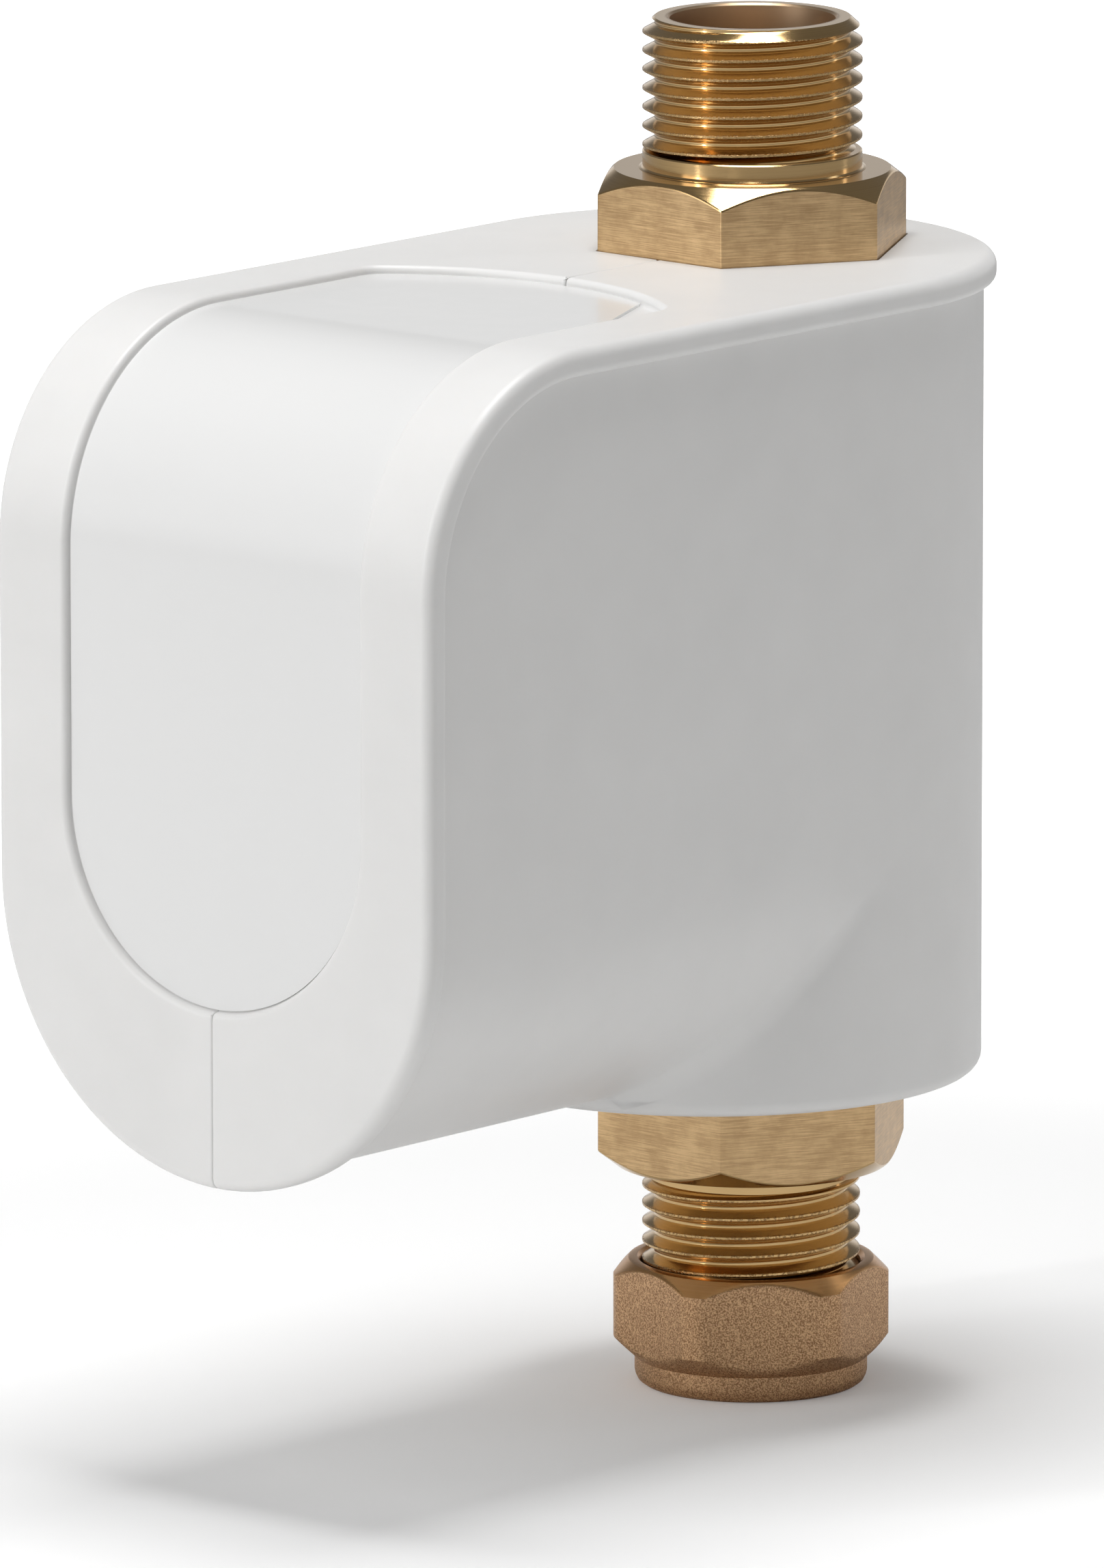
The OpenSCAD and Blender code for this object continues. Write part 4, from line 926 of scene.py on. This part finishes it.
combine(
    casing,
    casing_bulk("bulk", wall_half_w, casing_foot, casing_foot_edge, strap_t / 2, True),
    "UNION",
)

# The room inside. Round bosses for the five screws are left in it.
room_half_w = wall_half_w - wall_t
skin_t = recess_depth + wall_t
room_floor = casing_foot + wall_t
boss_r = 3.2 * mm
screw_places = (
    (-64.0 * mm, 77.5 * mm),
    (-17.7 * mm, 78.55 * mm),
    (-68.9 * mm, motor_z),
    (15.0 * mm, 27.38 * mm),
    (15.0 * mm, 74.72 * mm),
)


def rods_along_x(name, start, end, radius, places=screw_places):
    """Round rods along X, one at each place, as one piece."""
    rods = []
    for y, z in places:
        bpy.ops.mesh.primitive_cylinder_add(
            vertices=48,
            radius=radius,
            depth=end - start,
            location=((start + end) / 2, y, z),
            rotation=(0, math.radians(90), 0),
        )
        rods.append(newest(name))
    bpy.ops.object.select_all(action="DESELECT")
    for rod in rods:
        rod.select_set(True)
    if len(rods) > 1:
        bpy.ops.object.join()
    return bpy.context.view_layer.objects.active


room = casing_bulk("room", room_half_w, room_floor, 0, skin_t, False)
combine(room, rods_along_x("bosses", -casing_half_w, casing_half_w, boss_r), "DIFFERENCE")
combine(casing, room, "DIFFERENCE")
hexagon_gap = 0.15 * mm
bpy.ops.mesh.primitive_cylinder_add(
    vertices=6,
    radius=hex_corner_r + hexagon_gap / math.cos(math.radians(30)),
    depth=casing_top,
    location=(0, 0, casing_top / 2),
    rotation=(0, 0, math.radians(30)),
)
hexagon = newest("hexagon")
for vertex in hexagon.data.vertices:
    vertex.co.z = casing_foot - mm if vertex.co.z < casing_top / 2 else casing_top + mm
combine(casing, hexagon, "DIFFERENCE")

# Each screw goes in through a well in the left half and bites in the right half's boss.
well_r, well_x = 2.75 * mm, -11.0 * mm
hole_r, hole_x = 1.5 * mm, 10.0 * mm
grommet_place = (-13.0 * mm, 49.5 * mm)
cable_hole_r = 4.25 * mm
grommet_neck_r = 4.2 * mm
for rods in (
    rods_along_x("wells", -casing_half_w - mm, well_x, well_r),
    rods_along_x("holes", well_x - mm, hole_x, hole_r),
    rods_along_x("cable", -casing_half_w, mm - room_half_w, cable_hole_r, (grommet_place,)),
):
    combine(casing, rods, "DIFFERENCE")


def casing_half(name, side):
    """One half of the casing, from the middle plane to one side."""
    half = casing.copy()
    half.data = casing.data.copy()
    half.name = half.data.name = name
    bpy.context.collection.objects.link(half)
    edit(half)
    bpy.ops.mesh.select_all(action="SELECT")
    bpy.ops.mesh.bisect(plane_co=(0, 0, 0), plane_no=(1, 0, 0))
    pick(half, "faces", lambda f: f.calc_center_median().x * side < 0)
    bpy.ops.mesh.delete(type="FACE")
    pick(half, "edges", lambda e: len(e.link_faces) == 1)
    bpy.ops.mesh.fill(use_beauty=False)
    bpy.ops.mesh.select_all(action="SELECT")
    bpy.ops.mesh.normals_make_consistent(inside=False)
    done()
    return half


casing_right = casing_half("casing_shell_right", 1)
casing_left = casing_half("casing_shell_left", -1)
bpy.data.objects.remove(casing)

# The joint's edges are rounded a little, so that a fine groove shows where the halves meet.
for half in (casing_right, casing_left):
    edit(half)
    pick(
        half,
        "edges",
        lambda e: all_near(e, 0, 0)
        and len(e.link_faces) == 2
        and min(abs(f.normal.x) for f in e.link_faces) < 0.5
        and max(abs(f.normal.x) for f in e.link_faces) > 0.99,
    )
    bpy.ops.mesh.bevel(offset=parting_edge, segments=3, affect="EDGES", clamp_overlap=False)
    done()
casing_plastic = moulded("casing_plastic", (0.8, 0.795, 0.785), 0.4, 0.35 * mm, 0.006 * mm)
casing_plastic.set("Subsurface Weight", 0.3)
casing_plastic.set("Subsurface Radius", (1.0, 0.95, 0.9))
casing_plastic.set("Subsurface Scale", 0.8 * mm)
for half, node in ((casing_right, "casing_right"), (casing_left, "casing_left")):
    smooth(half, 32)
    dress(casing_plastic, half)
    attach(half, "pump")
    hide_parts(node)

# The grommet for the supply cable, on the left side. It is moulded in soft dark rubber, and the
# groove round it grips the casing's wall.
grommet_hole_r, grommet_head_r = 2.5 * mm, 5.6 * mm
grommet_edge = 0.45 * mm
head_x, neck_x, inner_x = -wall_half_w - mm, -wall_half_w, -room_half_w + 2 * mm
outline = arc((grommet_hole_r + grommet_edge, head_x + grommet_edge), grommet_edge, 180, 270, 6)
outline += arc((grommet_head_r - grommet_edge, head_x + grommet_edge), grommet_edge, 270, 360, 6)
outline += [(grommet_head_r, neck_x), (grommet_neck_r, neck_x), (grommet_neck_r, -room_half_w)]
outline += [(grommet_head_r, -room_half_w)]
outline += arc((grommet_head_r - grommet_edge, inner_x - grommet_edge), grommet_edge, 0, 90, 6)
outline += [(grommet_hole_r, inner_x)]
grommet = turned("cable_grommet_moulded", outline)
for vertex in grommet.data.vertices:
    x, y, z = vertex.co
    vertex.co = (z, grommet_place[0] + x, grommet_place[1] + y)
smooth(grommet, 40)
dress(moulded("grommet_rubber", (0.05, 0.05, 0.052), 0.5, depth=0.01 * mm), grommet)
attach(grommet, "pump")
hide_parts("cable_grommet")

# The label. It is a glossy white film that fills the recess over the bend but for a fine gap
# round it. Its rear right corner is cut off, and the film is left bare.
film_t = 0.25 * mm
film_gap = 0.2 * mm
film_cut_start = (3.7 * mm, -27.0 * mm)
film_cut_end = (18.4 * mm, -43.6 * mm)

label = flat_outline("label", recess_outline(film_gap), casing_top - recess_depth)
edit(label)
cut_way = Vector((film_cut_end[0] - film_cut_start[0], film_cut_end[1] - film_cut_start[1], 0))
bpy.ops.mesh.select_all(action="SELECT")
bpy.ops.mesh.bisect(
    plane_co=(*film_cut_start, 0),
    plane_no=(-cut_way.y, cut_way.x, 0),
    clear_outer=True,
)
bpy.ops.object.mode_set(mode="OBJECT")
thicken(label, film_t)
cut_for_bend(label)
roll_over_bend(label)
smooth(label, 40)
film = Finish("label_film", base_color=(0.77, 0.77, 0.765), roughness=0.24, coat_weight=0.25)
film.set("Coat Roughness", 0.08)
ripple = film.noise(7 * mm, 2.0)
film.set("Roughness", ripple * 0.08 + 0.2)
film.bump(ripple, 0.015 * mm)
dress(film, label)
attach(label, "pump")
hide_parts("label_film")

# The olive that the nut squeezes onto the pipe. It is turned from soft, bright brass.
dress(metal("olive_brass", (0.66, 0.46, 0.22), 0.25, (2 * mm, 2 * mm, 0.1 * mm)), "olive")

# The compression nut. It is pressed from brass and blasted, so its flats are grainy and its
# edges soft. Only the cone at its mouth is turned smooth. It draws the olive onto the pipe.
nut_low_z, nut_high_z = -20.5 * mm, -8.3 * mm
nut_flat_r = 12.0 * mm
nut_turn = math.radians(-14)
nut_corner_r = 13.256 * mm
nut_end_r = 11.8 * mm
nut_collar_r = 11.2 * mm
nut_collar_z = nut_low_z + 2.6 * mm
nut_shoulder_z = nut_collar_z + 1.9 * mm
nut_hole_r = 7.7 * mm
nut_seat_r = 9.0 * mm
nut_bore_r = 10.5475 * mm
nut_lip_z = nut_low_z + 1.9 * mm
nut_corner_softness = 0.28 * mm
nut_mouth_softness = 0.2 * mm


def softer_of(first, second, softness):
    """The smaller of two radii, with a soft change from one to the other."""
    near = max(softness - abs(first - second), 0.0) / softness
    return min(first, second) - near * near * softness / 4


nut_drop = nut_corner_r - nut_end_r
outer = [
    (nut_end_r - 0.3 * mm, nut_high_z),
    (nut_end_r, nut_high_z - 0.1 * mm),
]
outer += [
    (nut_end_r + share * nut_drop, nut_high_z - 0.1 * mm - share * nut_drop)
    for share in [i / 8 for i in range(1, 9)]
]
straight = nut_high_z - 0.1 * mm - nut_drop - nut_shoulder_z
outer += [(nut_corner_r, nut_shoulder_z + straight * (1 - i / 8)) for i in range(1, 9)]
fall = nut_shoulder_z - nut_collar_z
outer += [
    (nut_corner_r - (nut_corner_r - nut_collar_r) * i / 8, nut_shoulder_z - fall * i / 8)
    for i in range(1, 9)
]
outer += [
    (nut_collar_r, nut_collar_z - 0.3 * mm),
    (nut_collar_r, nut_low_z + 1.2 * mm),
    (nut_collar_r - 0.08 * mm, nut_low_z + 0.8 * mm),
    (nut_collar_r - 0.3 * mm, nut_low_z + 0.35 * mm),
    (nut_collar_r - 0.7 * mm, nut_low_z + 0.06 * mm),
    (nut_collar_r - 1.1 * mm, nut_low_z),
]
inner = [
    (nut_hole_r + 0.3 * mm, nut_low_z),
    (nut_hole_r, nut_low_z + 0.3 * mm),
    (nut_hole_r, nut_lip_z),
    (nut_seat_r, nut_lip_z + nut_seat_r - nut_hole_r),
    (nut_bore_r, nut_lip_z + nut_seat_r - nut_hole_r),
    (nut_bore_r, nut_high_z - 0.4 * mm),
    (nut_bore_r + 0.4 * mm, nut_high_z),
]
nut = turned("compression_nut_pressed", outer + inner, 2 * ring_steps)
for vertex in nut.data.vertices:
    x, y, z = vertex.co
    radius, angle = math.hypot(x, y), math.atan2(y, x) - nut_turn
    if radius > nut_bore_r + 0.5 * mm:
        flat = math.radians(60) * round(math.degrees(angle - math.radians(30)) / 60)
        across = nut_flat_r / math.cos(angle - math.radians(30) - flat)
        near_mouth = min(1.0, max(0.0, (z - nut_shoulder_z) / (nut_high_z - mm - nut_shoulder_z)))
        softness = nut_corner_softness + (nut_mouth_softness - nut_corner_softness) * near_mouth
        new = softer_of(radius, across, softness)
        vertex.co.x, vertex.co.y = x * new / radius, y * new / radius
smooth(nut, 24)
nut_brass = Finish("nut_brass", metallic=1.0)
radius, height, rings = lathe_lines(nut_brass, 0.12 * mm)
grain = nut_brass.noise(0.15 * mm, 3.0, 0.7)
pits = grain.band(0.42, 0.58)
cloud = nut_brass.noise(4 * mm, 3.0)
leaning = nut_brass.axes(nut_brass.node("ShaderNodeTexCoord", output="Normal"))[2]
is_turned = leaning.band(0.25, 0.5) * height.band(nut_high_z - 3 * mm, nut_high_z - 2.2 * mm)
blasted = nut_brass.mix(pits, (0.33, 0.185, 0.095), (0.7, 0.45, 0.25))
smooth_cone = nut_brass.mix(rings, (0.52, 0.27, 0.1), (0.62, 0.35, 0.15))
nut_brass.set("Base Color", nut_brass.mix(is_turned, blasted, smooth_cone))
rough = pits * -0.12 + cloud * 0.1 + 0.5
nut_brass.set("Roughness", rough + is_turned * (0.26 - rough))
nut_brass.bump(grain * (1.0 - is_turned) + rings * is_turned * 0.1, 0.03 * mm)
dress(nut_brass, nut)
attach(nut, "nut")
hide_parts("compression_nut")

# The floor. It is white paper that runs on as the backdrop. The camera sees it pure white away
# from the pump, and the pump's own shadow on it.
floor_z = nut_low_z
bpy.ops.mesh.primitive_plane_add(size=6, location=(0, 0, floor_z))
floor = newest("floor")
paper = Finish("floor_paper", base_color=(0.86, 0.86, 0.86), roughness=0.9)
seen = paper.node("ShaderNodeLightPath", output="Is Camera Ray")
paper.set("Emission Color", (1.0, 1.0, 1.0))
x, y, z = paper.axes()
away = (x**2.0 + y**2.0) ** 0.5
paper.set("Emission Strength", seen * (away.band(0.1, 0.3) * 0.9 + 0.14))
dress(paper, floor)

# The light. The studio is white along the horizon and dim above it. A broad soft lamp hangs
# overhead, a tall narrow one stands in front on the left, and a weak one behind on the right.
world = bpy.data.worlds.new("studio")
bpy.context.scene.world = world
world.use_nodes = True
background = world.node_tree.nodes["Background"]
way = world.node_tree.nodes.new("ShaderNodeTexCoord")
split = world.node_tree.nodes.new("ShaderNodeSeparateXYZ")
world.node_tree.links.new(way.outputs["Generated"], split.inputs[0])
rise = Wire(split.outputs[2])
seen = Wire(world.node_tree.nodes.new("ShaderNodeLightPath").outputs["Is Camera Ray"])
glow = 0.85 - rise.band(0.05, 0.3) * 0.67
feed(glow.maths("MAXIMUM", glow, seen), background.inputs["Strength"])
background.inputs["Color"].default_value = (1.0, 1.0, 1.0, 1.0)


def soft_lamp(name, place, aim, size, power):
    """A rectangular studio lamp that points at a place."""
    lamp = bpy.data.lights.new(name, "AREA")
    lamp.shape, lamp.size, lamp.size_y, lamp.energy = "RECTANGLE", size[0], size[1], power
    holder = bpy.data.objects.new(name, lamp)
    bpy.context.collection.objects.link(holder)
    holder.location = place
    holder.visible_camera = False
    holder.rotation_euler = (Vector(aim) - Vector(place)).to_track_quat("-Z", "Y").to_euler()


middle_of_pump = (0, -0.03, 0.045)
soft_lamp("overhead", (0, -0.03, 0.95), middle_of_pump, (0.45, 0.45), 6.2)
soft_lamp("front_strip", (-0.16, -0.5, 0.3), (0, -0.03, 0.06), (0.025, 0.6), 0.8)
soft_lamp("front_fill", (-0.35, -0.85, 0.4), middle_of_pump, (0.5, 0.5), 1.5)
soft_lamp("rear_strip", (0.22, 0.45, 0.25), (0, 0, 0.06), (0.05, 0.5), 0.15)

# The camera, where the photographer stood: far off, and a little above the pump.
camera = bpy.data.objects.new("camera", bpy.data.cameras.new("camera"))
bpy.context.collection.objects.link(camera)
bpy.context.scene.camera = camera
yaw, pitch, roll = 0.721709, -0.192674, -0.00079
level = Vector((math.cos(yaw), math.sin(yaw), 0))
ahead = Vector((-math.sin(yaw), math.cos(yaw), 0))
forward = ahead * math.cos(pitch) + Vector((0, 0, math.sin(pitch)))
upward = level.cross(forward)
right = level * math.cos(roll) + upward * math.sin(roll)
up = upward * math.cos(roll) - level * math.sin(roll)
camera.rotation_euler = Matrix((right, up, -forward)).transposed().to_euler()
camera.location = (1.15372, -1.33954, 0.38519)
camera.data.lens = 431.9
camera.data.shift_x, camera.data.shift_y = -0.00123, -0.01557
camera.data.clip_start = 0.05
bpy.context.scene.view_settings.view_transform = "Standard"
